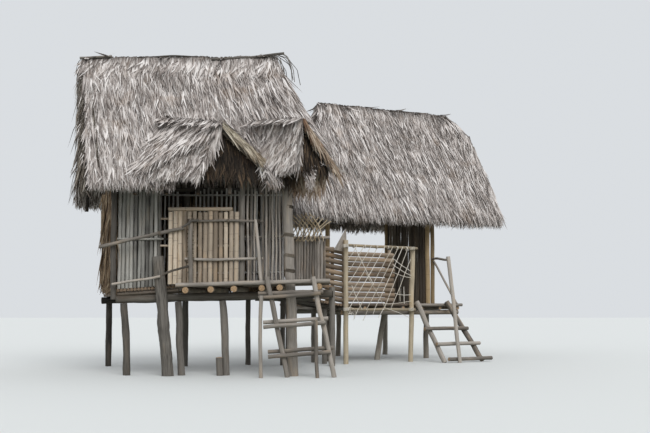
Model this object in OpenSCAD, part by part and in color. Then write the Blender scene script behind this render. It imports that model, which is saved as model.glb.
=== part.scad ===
/* [Front hut] */
// Length of the front wall, from the left end wall to the corner post
hut_l = 3270; // [2700:10:4000]
// Depth from the front posts to the back posts
hut_d = 2700; // [2300:10:3300]
// Height of the deck joists' tops above the water
deck_h = 1612; // [1350:1:2000]
// Height of the wall plates' axes above the joists
wall_h = 2100; // [1750:10:2550]
// How far the roof runs past the front and back posts
eave_out = 500; // [350:10:700]
// How far the roof runs past the left end wall
verge_out = 580; // [400:10:700]
// How far the hip's foot stands to the right of the corner post
hip_out = 800; // [650:10:950]
// Length of the hip's slope on plan
hip_run = 1220; // [900:10:1500]
// Turn of the left end wall out of square, in degrees
end_skew = 17; // [0:1:22]
// How far the deck reaches in front of the corner post
deck_out = 250; // [180:10:400]
// How far the deck runs to the right of the corner post
deck_right = 670; // [560:10:700]

/* [Back hut] */
// Place of the back hut's own frame, across and away from the viewer, seen from the corner post
back_at = [-80, 3205]; // [-600:10:4200]
// Turn of the back hut, in degrees
back_turn = 29; // [24:1:34]
// Length of the back roof's eaves, from the frame's origin
back_l = 5800; // [5200:10:6500]
// Length of the back roof up to its ridge's right end
back_ridge_l = 5300; // [4900:10:5800]
// Depth of the back hut between its front and back posts
room_d = 1850; // [1600:10:2300]
// How far the back roof runs past its posts, in front and behind
back_eave_out = 600; // [450:10:750]
// Distance of the back hut's front posts behind its frame's origin
plate_v = 800; // [760:10:900]
// Place of the back hut's right end wall, along the hut
room_end = 4060; // [3700:10:4400]
// Height of the back floor's top above the water
back_floor_h = 1300; // [1100:1:1600]
// Height of the back wall plates' axes above the floor
back_wall_h = 2540; // [2150:1:2950]
// Length of the back roof's hip on plan
back_hip_run = 1570; // [1300:10:1850]
// Left side of the porch, along the hut
porch_at = 1060; // [1000:10:1200]
// How far the porch floor reaches in front of the frame's origin
porch_out = 330; // [250:10:450]

/* [Roofs] */
// Pitch of the front hut's thatch, in degrees
pitch = 54; // [46:1:60]
// Pitch of the back hut's thatch, in degrees
back_pitch = 59; // [50:1:64]
// Thickness of the thatch, square to its slope
thatch_t = 250; // [180:5:320]
// Diameter of the rafters
rafter_d = 70; // [50:1:90]
// Diameter of the wall plates and of the ridge poles
plate_d = 100; // [80:1:130]
// Number of rafter pairs on each hut
rafter_n = 6; // [4:1:9]

/* [Poles] */
// Diameter of the big corner post
corner_d = 190; // [150:1:230]
// Diameter of the thick bark-covered post
bark_d = 205; // [160:1:240]
// Diameter of the other stilts
stilt_d = 130; // [100:1:160]
// Diameter of the main beams
beam_d = 145; // [110:1:170]
// Diameter of the deck joists
joist_d = 115; // [90:1:130]
// Diameter of the floor sticks
floor_d = 60; // [45:1:75]
// Diameter of the deck's edge pole
edge_d = 80; // [60:1:100]
// Diameter of the poles in the closed wall
wall_pole_d = 66; // [50:1:80]
// Diameter of the dark sticks in the other walls
stick_d = 46; // [34:1:60]
// Diameter of the upright canes in the screen
cane_d = 84; // [60:1:100]
// Diameter of the rails
rail_d = 48; // [36:1:60]
// Diameter of the twine
twine_d = 10; // [8:1:16]

/* [Ladders] */
// Width of the front ladder between its stringers' outer sides
ladder_w = 1180; // [1000:10:1250]
// Number of treads on the front ladder
ladder_n = 3; // [2:1:4]
// Diameter of the ladder poles
ladder_d = 90; // [70:1:110]
// Width of the side ladder
side_ladder_w = 900; // [700:10:1100]
// Diameter of the side ladder's stringers
stringer_d = 115; // [90:1:130]

/* [Hidden] */
$fn = 24;

gap = 0.3;
// Rise of the deck towards the right, for each unit of length
deck_rise = 0.028;
corner_lean = -130;
corner_r = corner_d / 2;
stilt_r = stilt_d / 2;
beam_r = beam_d / 2;
joist_r = joist_d / 2;
floor_r = floor_d / 2;
plate_r = plate_d / 2;
rafter_r = rafter_d / 2;
stick_r = stick_d / 2;
cane_r = cane_d / 2;
rail_r = rail_d / 2;
batten_d = 40;
batten_r = batten_d / 2;

// Plan of the front hut: the corner post's foot is the origin and the front wall runs to the left
side_w = 1140;
deck_left = side_w - hut_l;
wall_w = 860;
ridge_y = hut_d / 2;
plate_z = deck_h + wall_h;
beam_y = corner_r + beam_r + gap;
back_beam_y = hut_d - stilt_r - beam_r - gap;
joist_at = [-1950, -1490, -1070, -565, -240, 470];
joist_front = -deck_out - 40;
joist_back = hut_d - stilt_r - 20;
floor_front = edge_d + gap - deck_out - edge_d / 2 + floor_r;
floor_pitch = floor_d * 1.12;
bearer_d = 60;

function left_x(y) = -hut_l - y * tan(end_skew);
function rise_at(x) = deck_rise * (x - deck_left);
function joist_z(x) = deck_h - joist_r + rise_at(x);
function beam_z(x) = deck_h - joist_d - beam_r - gap + rise_at(x);
function floor_z(x) = deck_h + floor_r + gap + rise_at(x);
function deck_top(x) = floor_z(x) + floor_r + gap;
// Axis of the side floor's bearers, which rest on the beams at the left and meet the deck at the right;
// past the wall's left end they follow the beam
side_low = beam_z(-hut_l) + beam_r + bearer_d / 2 + 2 * gap;
side_high = deck_h + floor_r - floor_d / 2 - bearer_d / 2 - 12;
function bearer_z(x) = side_low + (x + hut_l) * (x < -hut_l ? deck_rise : (side_high - side_low) / side_w);
function side_top(x) = bearer_z(x) + bearer_d / 2 + floor_d + 2 * gap;
side_pitch = floor_d * 1.06;
side_first = deck_left - floor_r - 6;
side_n = floor((side_w + (hut_d - 160) * tan(end_skew) - floor_d) / side_pitch);
// How far below a floor stick's top a disc of radius r stands when it is off that stick's axis
function crest_drop(off, r) =
    let (out = max(0, abs(off) - r)) out < floor_r ? floor_r - sqrt(floor_r * floor_r - out * out) : deck_h;
// Where a stick of radius r stands on the side floor and on the deck
function side_stand(x, r) =
    max([for (i = [0 : side_n]) let (at = side_first - i * side_pitch) side_top(at) - crest_drop(x - at, r)]);
function deck_stand(x, y, r) =
    let (row = floor_front + round((y - floor_front) / floor_pitch) * floor_pitch)
    deck_top(x + r) - crest_drop(y - row, r);
function stand_z(x, y, r) = x + r < deck_left ? side_stand(x, r) : deck_stand(x, y, r);
// Top of a post that carries a main beam, below the beam at x
function under_beam(x, r) = beam_z(x) - beam_r - deck_rise * r - 1 * gap;

// Roof sections: the rafters lie on the plates, and the thatch lies on the rafters
rafter_off = plate_r + rafter_r + gap;
thatch_off = rafter_off + rafter_r + gap;
function slope_z(plate_height, run, off, angle = pitch) = plate_height + run * tan(angle) + off / cos(angle);

// Plan of the back hut, in its own turned frame: u runs along its front eave and v away from it
back_ridge_v = plate_v + room_d / 2;
back_eave_v = plate_v - back_eave_out;
back_rear_v = plate_v + room_d + back_eave_out;
back_plate_z = back_floor_h + back_wall_h;
back_floor_z = back_floor_h - floor_r;
back_joist_d = 80;
back_joist_z = back_floor_h - floor_d - gap - back_joist_d / 2;
back_bearer_d = 110;
back_bearer_z = back_joist_z - back_joist_d / 2 - gap - back_bearer_d / 2;
back_under_bearer = back_bearer_z - back_bearer_d / 2 - gap;
porch_post_d = 110;
porch_right = 2790;
stilt_u = [porch_at + 110, 2470, room_end - 210];
mid_bearer_v = 600;

// A round pole from one point to another
module pole(from, to, d, d_end) {
    run = to - from;
    length = norm(run);
    translate(from)
        rotate([0, acos(run.z / length), atan2(run.y, run.x)])
            cylinder(h = length, d1 = d, d2 = is_undef(d_end) ? d : d_end);
}

// A leaning post whose foot and head are cut level
module post(foot, head, d, d_end) {
    run = head - foot;
    spare = 120 / run.z;
    top_d = is_undef(d_end) ? d : d_end;
    low = foot - run * spare;
    high = head + run * spare;
    reach = 4 * d + abs(run.x) + abs(run.y);
    intersection() {
        pole(low, high, d + (d - top_d) * spare, top_d - (d - top_d) * spare);
        translate([foot.x - reach, foot.y - reach, foot.z])
            cube([2 * reach, 2 * reach, run.z]);
    }
}

// A pole that leans further and is cut square, with its lowest edge at the foot's height
module leaning_pole(foot, head, d) {
    along = (head - foot) / norm(head - foot);
    pole(foot + along * (d / 2 * sqrt(1 - along.z * along.z) / along.z), head, d);
}

// A closed slab between an upper and a lower outline of the same order, anticlockwise from above
module slab(upper, lower) {
    n = len(upper);
    polyhedron(
        points = concat(upper, lower),
        faces = concat(
            [for (i = [1 : n - 2]) [0, i + 1, i]],
            [for (i = [1 : n - 2]) [n, n + i, n + i + 1]],
            [for (i = [0 : n - 1]) [i, (i + 1) % n, n + (i + 1) % n]],
            [for (i = [0 : n - 1]) [i, n + (i + 1) % n, n + i]]
        )
    );
}

module place_back() {
    translate([back_at.x, back_at.y, 0])
        rotate([0, 0, back_turn])
            children();
}

module corner_post() {
    color("#7d756c")
        post([0, 0, 0], [corner_lean, 0, plate_z - plate_r - gap], corner_d, corner_d * 0.96);
}

// The bark post leans on the front beam and comes a little forward above it
bark_top = deck_h + 570;
function bark_r(z) = bark_d / 2 * (1.05 - 0.05 * z / bark_top);
function bark_y(z) =
    beam_y - beam_r - bark_r(beam_z(deck_left)) - gap + (beam_z(deck_left) - z) * 14 / bark_top;
module bark_post() {
    color("#6f6a63")
        post([deck_left - 160, bark_y(0), 0],
             [deck_left - 370, bark_y(bark_top), bark_top], bark_d * 1.05, bark_d);
}

prop_at = [-3120, -2110, -1290];
// A stump cut off below the beam stands beside the last of them
module beam_posts() {
    step = stilt_r * 2.06 + 2 * gap;
    lean = -75 * 330 / under_beam(prop_at[2] - 30, stilt_r);
    stump = [prop_at[2] + 45 - step * cos(42), beam_y - step * sin(42), 0];
    color("#85817c") {
        for (x = prop_at)
            post([x + 45, beam_y, 0], [x - 30, beam_y, under_beam(x - 30, stilt_r)], stilt_d * 1.06, stilt_d);
        post(stump, stump + [lean, 0, 330], stilt_d);
    }
}

back_post_at = [left_x(hut_d) + 130, -2360, -190];
module back_posts() {
    color("#77716a") {
        for (x = back_post_at)
            post([x, hut_d, 0], [x, hut_d, plate_z - plate_r - gap], stilt_d);
        post([deck_right + 60, hut_d, 0], [deck_right + 57, hut_d, deck_h + 40], stilt_d);
    }
}

beam_split = -630;
module main_beams() {
    color("#5f5a54") {
        pole([-hut_l - 20, beam_y, beam_z(-hut_l - 20)], [beam_split, beam_y, beam_z(beam_split)], beam_d);
        pole([beam_split + 10, beam_y, beam_z(beam_split)],
             [deck_right + 40, beam_y, beam_z(deck_right)], beam_d);
        pole([left_x(back_beam_y) - 40, back_beam_y, beam_z(left_x(back_beam_y) - 40)],
             [deck_right + 80, back_beam_y, beam_z(deck_right + 80)], beam_d);
    }
}

module deck_joists() {
    color("#a08f7b")
        for (x = joist_at)
            pole([x, joist_front, joist_z(x)], [x, joist_back, joist_z(x)], joist_d);
}

module deck_edge_pole() {
    edge_z = deck_h + edge_d / 2 + gap;
    color("#9b948a")
        pole([deck_left, -deck_out, edge_z], [deck_right, -deck_out, edge_z + rise_at(deck_right)], edge_d);
}

floor_rows = floor((joist_back - 60 - floor_front) / floor_pitch);
module deck_floor() {
    hole = corner_r + floor_r + 12;
    color("#8f877b")
        for (i = [0 : floor_rows]) {
            y = floor_front + i * floor_pitch;
            clear_x = corner_lean / 2 - corner_r - 30;
            if (abs(y) > hole) {
                pole([deck_left, y, floor_z(deck_left)], [deck_right, y, floor_z(deck_right)], floor_d);
            } else {
                pole([deck_left, y, floor_z(deck_left)], [clear_x, y, floor_z(clear_x)], floor_d);
                pole([corner_r + 25, y, floor_z(corner_r)], [deck_right, y, floor_z(deck_right)], floor_d);
            }
        }
}

module side_floor() {
    front = beam_y - beam_r;
    color("#988e80") {
        for (i = [0 : side_n - 1]) {
            x = side_first - i * side_pitch;
            start = max(front, front - 75 + (floor_r - hut_l - x) / tan(max(end_skew, 1)));
            z = bearer_z(x) + bearer_d / 2 + floor_r + gap;
            pole([x, start, z], [x, joist_back, z], floor_d);
        }
        for (y = [beam_y, back_beam_y])
            pole([2 - hut_l, y, bearer_z(2 - hut_l)], [deck_left - 8, y, bearer_z(deck_left - 8)], bearer_d);
        low = left_x(back_beam_y);
        pole([low, back_beam_y, bearer_z(low)], [-hut_l, back_beam_y, bearer_z(-hut_l)], bearer_d);
        near = beam_y + bearer_d;
        far = back_beam_y - bearer_d;
        pole([left_x(near) + 40, near, bearer_z(left_x(near) + 40)],
             [left_x(far) + 40, far, bearer_z(left_x(far) + 40)], bearer_d);
    }
}

wall_face = plate_r + batten_d + 2 * gap;
wall_y = wall_face + wall_pole_d * 0.54;
wall_pitch = wall_pole_d * 1.12;
module pole_wall() {
    n = floor(wall_w / wall_pitch);
    color("#6f6f68") {
        for (i = [0 : n - 1]) {
            x = -hut_l + wall_pole_d / 2 + i * wall_pitch;
            d = wall_pole_d * (1 + 0.08 * sin(i * 59));
            y = wall_face + d / 2;
            pole([x, y, side_stand(x, d / 2)], [x + 5 * sin(i * 97), y, plate_z + 30 + 25 * sin(i * 71)], d);
        }
        for (z = [plate_z, deck_h + 900])
            pole([-hut_l, wall_face - batten_r - gap, z],
                 [wall_w - hut_l, wall_face - batten_r - gap, z], batten_d);
    }
}

function under_rafters(y) =
    slope_z(plate_z, min(y, hut_d - y), rafter_off) - (rafter_r + 6) / cos(pitch) - 20;
module left_end_wall() {
    near = wall_y + 120;
    far = hut_d - stilt_r - 90;
    n = floor((far - near) / (stick_d * 1.35));
    color("#7a6650") {
        for (i = [0 : n]) {
            y = near + (far - near) * i / n;
            d = stick_d * (1 + 0.1 * sin(i * 61));
            x = left_x(y) + 55 + (stick_r * 1.1 - d / 2) / cos(end_skew);
            top = abs(y - ridge_y) < plate_r + stick_r + 6
                ? slope_z(plate_z, ridge_y, 0) - plate_r - 8 : under_rafters(y) - stick_r * tan(pitch);
            pole([x, y, side_stand(x, d / 2)], [x, y, top], d);
        }
        off = 55 + (stick_r * 1.1 + batten_r + gap) / cos(end_skew);
        for (z = [deck_h + 260, deck_h + 1250, plate_z + 160])
            pole([left_x(near - 40) + off, near - 40, z], [left_x(far + 40) + off, far + 40, z], batten_d);
    }
}

back_wall_y = hut_d - plate_r - stick_r * 1.12 - gap;
module back_wall() {
    left = left_x(back_wall_y) + 330;
    right = back_post_at[2] - stilt_r - 60;
    n = floor((right - left) / 92);
    color("#6d645a") {
        for (i = [0 : n]) {
            x = left + (right - left) * i / n;
            d = stick_d * (1 + 0.12 * sin(i * 59));
            y = back_wall_y - stick_r * 1.12 + d / 2;
            if (abs(x - back_post_at[1]) > stilt_r + stick_d)
                pole([x, y, stand_z(x, y, d / 2) + 0.3],
                     [x + 12 * sin(i * 47), y, plate_z + 40 * sin(i * 77)], d);
        }
        for (z = [deck_h + 350, deck_h + 1050, plate_z - 120])
            pole([left - 40, back_wall_y - stick_r * 1.12 - batten_r - gap, z],
                 [right, back_wall_y - stick_r * 1.12 - batten_r - gap, z], batten_d);
    }
}

screen_left = -2310;
screen_h = 1390;
wall_post_x = -950;
screen_y = wall_face - 2 * batten_d - cane_r * 1.1 - 3 * gap;
module cane_screen() {
    n = 14;
    color("#a5957a") {
        for (i = [0 : n - 1]) {
            step = i < 5 ? i * (cane_d + 4) : 4 * (cane_d + 4) + (i - 4) * (cane_d + 12);
            x = screen_left + cane_r + step;
            d = cane_d * (1 + 0.06 * sin(i * 59));
            y = screen_y + cane_r * 1.06 - d / 2;
            pole([x, y, deck_stand(x, y, d / 2)],
                 [x + 6 * sin(i * 61), y, deck_h + screen_h + 14 * sin(i * 97)], d);
        }
        back_y = screen_y + cane_r * 1.06 + batten_r + gap;
        for (z = [deck_h + screen_h - 120, deck_h + screen_h - 620])
            pole([screen_left - 150, back_y, z], [wall_post_x - plate_r - gap, back_y, z], batten_d);
        top = deck_h + screen_h + 14 + cane_d * 0.45 + gap;
        pole([screen_left, screen_y, top], [screen_left + 1180, screen_y, top], cane_d * 0.9);
    }
}

module stick_screen() {
    left = -985;
    right = -255;
    n = 12;
    color("#8b857d") {
        for (i = [0 : n - 1]) {
            x = left + (right - left) * i / (n - 1);
            d = stick_d * 0.85 * (1 + 0.15 * sin(i * 59));
            y = wall_y + stick_r - d / 2;
            foot_x = x + 14 * sin(i * 71);
            if (i != 1 && i != 5)
                pole([foot_x, y, deck_stand(foot_x, y, d / 2)],
                     [x - 12 * sin(i * 37), y, plate_z + 20], d);
        }
        for (z = [plate_z - 15, deck_h + 950])
            pole([left - 60, wall_y + stick_r + batten_r + gap, z],
                 [right + 60, wall_y + stick_r + batten_r + gap, z], batten_d);
    }
}

module wall_posts() {
    color("#746e66") {
        pole([wall_post_x, 0, deck_stand(wall_post_x, 0, plate_r)],
             [wall_post_x, 0, plate_z - plate_r - gap], plate_d);
        pole([-hut_l - 40, 0, beam_z(-hut_l)], [-hut_l - 60, 0, plate_z - plate_r - gap], plate_d);
    }
}

screen_front = screen_y - cane_r * 1.06;
module deck_railing() {
    low_y = screen_front - rail_r * 1.1 - gap;
    post_y = low_y - rail_r * 1.1 - gap;
    side_y = screen_front - 32.5 - gap;
    side_low_y = bark_y(deck_h + 190) - bark_r(deck_h + 190) - rail_r - gap;
    color("#8d857b") {
        pole([-1890, screen_front - rail_r - gap, deck_h + 1222],
             [-560, screen_front - rail_r - gap, deck_h + 1212], rail_d);
        pole([-1990, low_y, deck_h + 520], [-550, low_y, deck_h + 525], rail_d * 1.1);
        post([-1865, post_y - 40, deck_stand(-1865, post_y - 40, 40)],
             [-1880, post_y - 40, deck_h + 1250], 80);
        post([-590, post_y - 32, deck_stand(-590, post_y - 32, 32)], [-690, post_y - 32, deck_h + 1240], 64);
        // Two crooked rails run on to the left, past the bark post
        pole([-3560, side_y, deck_h + 740], [-2000, side_y, deck_h + 1090], 65);
        pole([-3310, side_low_y, deck_h + 55], [-2430, side_low_y, deck_h + 200], rail_d);
    }
}

module wall_plates() {
    for (y = [0, hut_d])
        pole([left_x(y) - verge_out * 0.6, y, plate_z], [hip_plate_x + plate_d, y, plate_z], plate_d);
}

hip_rise = (ridge_y + eave_out) * tan(pitch);
hip_pitch = atan2(hip_rise, hip_run);
ridge_end = hip_out - hip_run;
ridge_in_z = slope_z(plate_z, ridge_y, thatch_off);
thatch_drop = thatch_t / cos(pitch);
hip_plate_z = plate_z + plate_d + gap;
hip_plate_x = ridge_end + (ridge_in_z - hip_plate_z - thatch_off / cos(hip_pitch)) / tan(hip_pitch);
// How far the hip's plate runs past the wall plates before it would meet the thatch
function hip_plate_out(angle) = (thatch_off / cos(angle) - 1.5 * plate_d - gap) / tan(angle) - 6;
module roof_poles() {
    out = hip_plate_out(pitch);
    color("#6b635a") {
        wall_plates();
        pole([hip_plate_x, -out, hip_plate_z], [hip_plate_x, hut_d + out, hip_plate_z], plate_d);
        pole([left_x(ridge_y) - verge_out - 90, ridge_y, slope_z(plate_z, ridge_y, 0)],
             [ridge_end - 90, ridge_y, slope_z(plate_z, ridge_y, 0)], plate_d);
    }
}

module rafters() {
    low_z = slope_z(plate_z, -eave_out * 0.8, rafter_off);
    top_z = slope_z(plate_z, ridge_y, rafter_off);
    color("#6b5f52")
        for (i = [0 : rafter_n - 1]) {
            part = i / (rafter_n - 1);
            skew = (1 - part) * tan(end_skew);
            first = left_x(ridge_y) - verge_out * 0.5;
            head = first + part * (ridge_end - 160 - first);
            pole([head + skew * (ridge_y + eave_out * 0.8), -eave_out * 0.8, low_z],
                 [head, ridge_y, top_z], rafter_d);
            pole([head - rafter_d - 2 - skew * (ridge_y + eave_out * 0.8), hut_d + eave_out * 0.8, low_z],
                 [head - rafter_d - 2, ridge_y, top_z], rafter_d);
        }
}

function verge_x(y) = left_x(y) - verge_out;
function roof_top(run) = slope_z(plate_z, run, thatch_off) + thatch_drop;
function lowered(points, drop) = [for (p = points) p - [0, 0, drop]];
eave_z = roof_top(-eave_out);
front_left = [verge_x(-eave_out), -eave_out, eave_z];
front_right = [hip_out, -eave_out, eave_z];
rear_left = [verge_x(hut_d + eave_out), hut_d + eave_out, eave_z];
rear_right = [hip_out, hut_d + eave_out, eave_z];
ridge_left = [verge_x(ridge_y), ridge_y, roof_top(ridge_y)];
ridge_right = [ridge_end, ridge_y, roof_top(ridge_y)];

module thatch(upper, drop = thatch_drop) {
    slab(upper, lowered(upper, drop));
}

module front_thatch() {
    color("#a79f97") thatch([front_left, front_right, ridge_right, ridge_left]);
}

module rear_thatch() {
    color("#9d958c") thatch([ridge_left, ridge_right, rear_right, rear_left]);
}

module hip_thatch() {
    color("#a2998f") thatch([front_right, rear_right, ridge_right]);
}

// Each canopy is two wings of thatch on a ridge that leaves the front slope
canopy_t = 110;
function on_roof(x, y) = [x, y, roof_top(y) + canopy_t + gap];
door_root = on_roof(-2450, 270);
door_tip = [-1260, -750, plate_z + 820];
door_left = [-1620, -950, plate_z - 20];
door_start = on_roof(-2820, -480);
door_right = on_roof(-556, -400);
corner_root = on_roof(-733, 208);
corner_tip = [191, -750, plate_z + 905];
corner_left = [108, -950, plate_z + 170];
corner_start = on_roof(-430, -480);
corner_right = on_roof(hip_out - 100, -400);

module canopy(root, tip, left, start, right) {
    left_wing = [start, left, tip, root];
    right_wing = [tip, right, root];
    slab(left_wing, lowered(left_wing, canopy_t));
    slab(right_wing, lowered(right_wing, canopy_t));
}

module door_canopy() {
    color("#a0968b") canopy(door_root, door_tip, door_left, door_start, door_right);
}

module corner_canopy() {
    color("#a0968b") canopy(corner_root, corner_tip, corner_left, corner_start, corner_right);
}

function unit(v) = v / norm(v);
function face_normal(a, b, c) = let (n = unit(cross(b - a, c - a))) n.z < 0 ? -n : n;

// Battens under one wing, side by side from the ridge down, and a pole along its open edge
module wing_poles(root, tip, foot) {
    drop = [0, 0, canopy_t] + face_normal(root, tip, foot) * (batten_r + gap);
    for (s = [0.25, 0.5, 0.75]) {
        inner = root + (foot - root) * s;
        outer = tip + (foot - tip) * s;
        pole(inner + (outer - inner) * 0.4 - drop, outer - unit(outer - inner) * 100 - drop, batten_d);
    }
    inset = unit(root - tip) * 50;
    pole(tip + (foot - tip) * 0.1 + inset - drop, foot - (foot - tip) * 0.12 + inset - drop, batten_d);
}

module canopy_poles() {
    color("#6f5d48") {
        wing_poles(door_root, door_tip, door_start);
        wing_poles(door_root, door_tip, door_right);
        wing_poles(corner_root, corner_tip, corner_start);
        wing_poles(corner_root, corner_tip, corner_right);
    }
}

ladder_r = ladder_d / 2;
tread_d = 74;
tread_r = tread_d / 2;
ladder_y = -deck_out - edge_d / 2 - ladder_r - gap;
ladder_lean = 380;
ladder_foot = -95;
ladder_gap = ladder_w - ladder_d - 250;
module ladder_frame() {
    color("#979086") {
        for (x = [0, ladder_gap])
            post([ladder_foot + x, ladder_y, 0],
                 [ladder_foot + x - ladder_lean, ladder_y, deck_h + 190], ladder_d);
        front = ladder_y - ladder_r - 2 * tread_r - 35 - 2 * gap;
        post([-560, front, 0], [-560, front, deck_h - 150], 70);
        post([445, front, 0], [415, front, 1020], 70);
    }
}

tread_low = 480;
tread_rise = (deck_h - 80 - tread_low) / (ladder_n - 1);
module ladder_treads() {
    front = ladder_y - ladder_r - tread_r - gap;
    back = ladder_y + ladder_r + tread_r + gap;
    color("#9b948a")
        for (i = [0 : ladder_n - 1]) {
            z = tread_low + i * tread_rise;
            left = -450 - 90 * i;
            // The highest back tread lies under the deck joists
            left_z = i < ladder_n - 1 ? z - 30 : beam_z(left) + beam_r - tread_r;
            right_z = i < ladder_n - 1 ? z + 45 : beam_z(left + ladder_w) + beam_r - tread_r;
            pole([left, back, left_z], [left + ladder_w, back, right_z], tread_d);
            pole([left + 15, front, z - 110], [left + ladder_w - 50, front, z - 25], tread_d);
        }
}

// The walkway's sticks lie across it, in the back hut's frame, and it rises towards the front hut
walk_len = 1200;
walk_rise = 200;
walk_depth = 930;
walk_right = porch_at - 60;
walk_n = 30;
walk_bearer_d = 80;
walk_cos = cos(atan2(walk_rise, walk_len));
function walk_u(i) = walk_right - floor_r - i * floor_d * 1.12;
function walk_z(u) = back_floor_z + walk_rise * (walk_right - u) / walk_len;
function walk_start(u) =
    max(-porch_out, (hut_d + stilt_r + 30 - back_at.y - u * sin(back_turn)) / cos(back_turn));
walk_bearer_v = [-60, 440];
module walkway_floor() {
    color("#958a7b")
        place_back()
            for (i = [0 : walk_n - 1]) {
                u = walk_u(i);
                if (walk_start(u) < walk_bearer_v[1] - 80)
                    pole([u, walk_start(u), walk_z(u)], [u, walk_depth - porch_out, walk_z(u)], floor_d);
            }
}

// Two bearers carry the sticks up to the first joist of the back floor, on stilts of their own, and the
// near one lies on a cross pole behind the front hut's back posts
module walkway_bearers() {
    drop = (floor_r + walk_bearer_d / 2 + gap) / walk_cos;
    ends = [-770, -1010];
    right = back_joist_u(0) - back_joist_d / 2 - 2;
    prop_r = stilt_d * 0.425;
    cross_y = hut_d + stilt_r + walk_bearer_d / 2 + gap;
    cross_u = (cross_y - back_at.y - walk_bearer_v[0] * cos(back_turn)) / sin(back_turn);
    cross_z = walk_z(cross_u) - drop - (walk_bearer_d + gap) * 1.058;
    color("#7b746b") {
        place_back()
            for (i = [0, 1]) {
                v = walk_bearer_v[i];
                pole([ends[i], v, walk_z(ends[i]) - drop], [right, v, walk_z(right) - drop], walk_bearer_d);
                for (u = [i == 0 ? -310 : ends[1] + 120, right - 330])
                    post([u, v, 0],
                         [u, v, walk_z(u + prop_r) - drop - walk_bearer_d / 2 / walk_cos - gap], 2 * prop_r);
            }
        pole([-900, cross_y, cross_z], [330, cross_y, cross_z], walk_bearer_d);
    }
}

module palisade() {
    left = -80;
    right = 560;
    y = joist_back - 130;
    n = 12;
    top = deck_h + 1060;
    color("#8b847a") {
        for (i = [0 : n - 1]) {
            x = left + (right - left) * i / (n - 1);
            d = stick_d * (1 + 0.1 * sin(i * 91));
            at_y = y - stick_r * 1.1 + d / 2;
            pole([x, at_y, deck_stand(x, at_y, d / 2)],
                 [x + 10 * sin(i * 77), at_y, top - 5 + 20 * sin(i * 53)], d);
        }
        front = y - stick_r * 1.1 - rail_r - gap;
        pole([left - 30, front, top], [deck_right + 10, front, top + 15], rail_d);
        for (i = [0 : 4])
            pole([left + 60 + i * 110, front - rail_r - 12 - gap, top - 60],
                 [left + 190 + i * 130, front - rail_r - 12 - gap, top + 420], 24);
    }
}

porch_v = -porch_out - porch_post_d / 2 - gap;
porch_rail_v = porch_v - porch_post_d / 2 - 32 - gap;
porch_rail_z = back_floor_h + 1275;
module porch_frame() {
    color("#a3957c")
        place_back() {
            post([porch_at, porch_v, 0], [porch_at, porch_v, back_floor_h + 1390], porch_post_d);
            post([porch_right - 50, porch_v, 0],
                 [porch_right + 30, porch_v, back_floor_h + 1260], porch_post_d);
            pole([porch_at - 40, porch_rail_v, porch_rail_z],
                 [porch_right + 90, porch_rail_v, porch_rail_z - 30], 64);
            pole([porch_at - 20, porch_rail_v, back_floor_h - 120],
                 [porch_right + 20, porch_rail_v, back_floor_h - 135], 64);
            // A cut board is fixed to the head of the left post
            translate([porch_at, porch_v + porch_post_d / 2 + gap, back_floor_h + 1150])
                rotate([90, 0, 0])
                    mirror([0, 0, 1])
                        linear_extrude(22)
                            polygon([[-260, 20], [60, -20], [45, 500]]);
        }
}

net_top = porch_rail_z;
net_low = back_floor_h - 120;
module porch_net() {
    span = porch_right - porch_at;
    first_v = porch_rail_v - 32 - twine_d / 2 - gap;
    color("#d8d2c4")
        place_back() {
            for (i = [0 : 6]) {
                u = porch_at + 180 + i * span / 7;
                pole([u - 170, first_v, net_low - 25 + 8 * i], [u + 60, first_v, net_top], twine_d);
            }
            for (i = [0 : 3]) {
                u = porch_at + 240 + i * span / 4.6;
                pole([u, first_v - twine_d - gap, net_top],
                     [u + 420, first_v - twine_d - gap, net_low], twine_d);
            }
        }
}

module cane_rails() {
    v = -porch_out + 190;
    color("#a5957a")
        place_back() {
            n = 10;
            for (i = [0 : n - 1]) {
                z = back_floor_h + 80 + i * 112;
                pole([porch_at + 90, v, z + 12], [porch_at + 1390 + 14 * sin(i * 77), v, z], cane_d * 0.95);
            }
            back_v = v + cane_r * 0.95 + 32 + gap;
            for (u = [porch_at + 130, porch_at + 1330])
                pole([u, back_v, back_floor_h + gap], [u, back_v, back_floor_h + 1210], 64);
            // The same rail goes on along the walkway, rising with its floor
            for (i = [0 : n - 1]) {
                z = 85 + i * 118;
                pole([porch_at - 70, v, walk_z(porch_at - 70) + floor_r + z],
                     [porch_at - 560, v, walk_z(porch_at - 560) + floor_r + z], cane_d * 0.95);
            }
            for (u = [walk_u(1), walk_u(6)])
                pole([u, back_v, walk_z(u) + floor_r + gap], [u, back_v, walk_z(u) + floor_r + 1230], 64);
        }
}

room_back_v = plate_v + room_d;
room_post_d = 110;
back_post_top = back_plate_z - plate_r - gap;
module hut_posts() {
    color("#93836a")
        place_back() {
            for (u = [room_end, room_end + 135])
                pole([u, plate_v, back_floor_h + gap],
                     [u, plate_v, back_post_top], room_post_d * (u > room_end ? 0.9 : 1));
            pole([room_end, room_back_v, back_floor_h + gap],
                 [room_end, room_back_v, back_post_top], room_post_d);
            for (v = [plate_v, room_back_v])
                post([porch_at + 200, v, 0], [porch_at + 200, v, back_post_top], room_post_d);
        }
}

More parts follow.
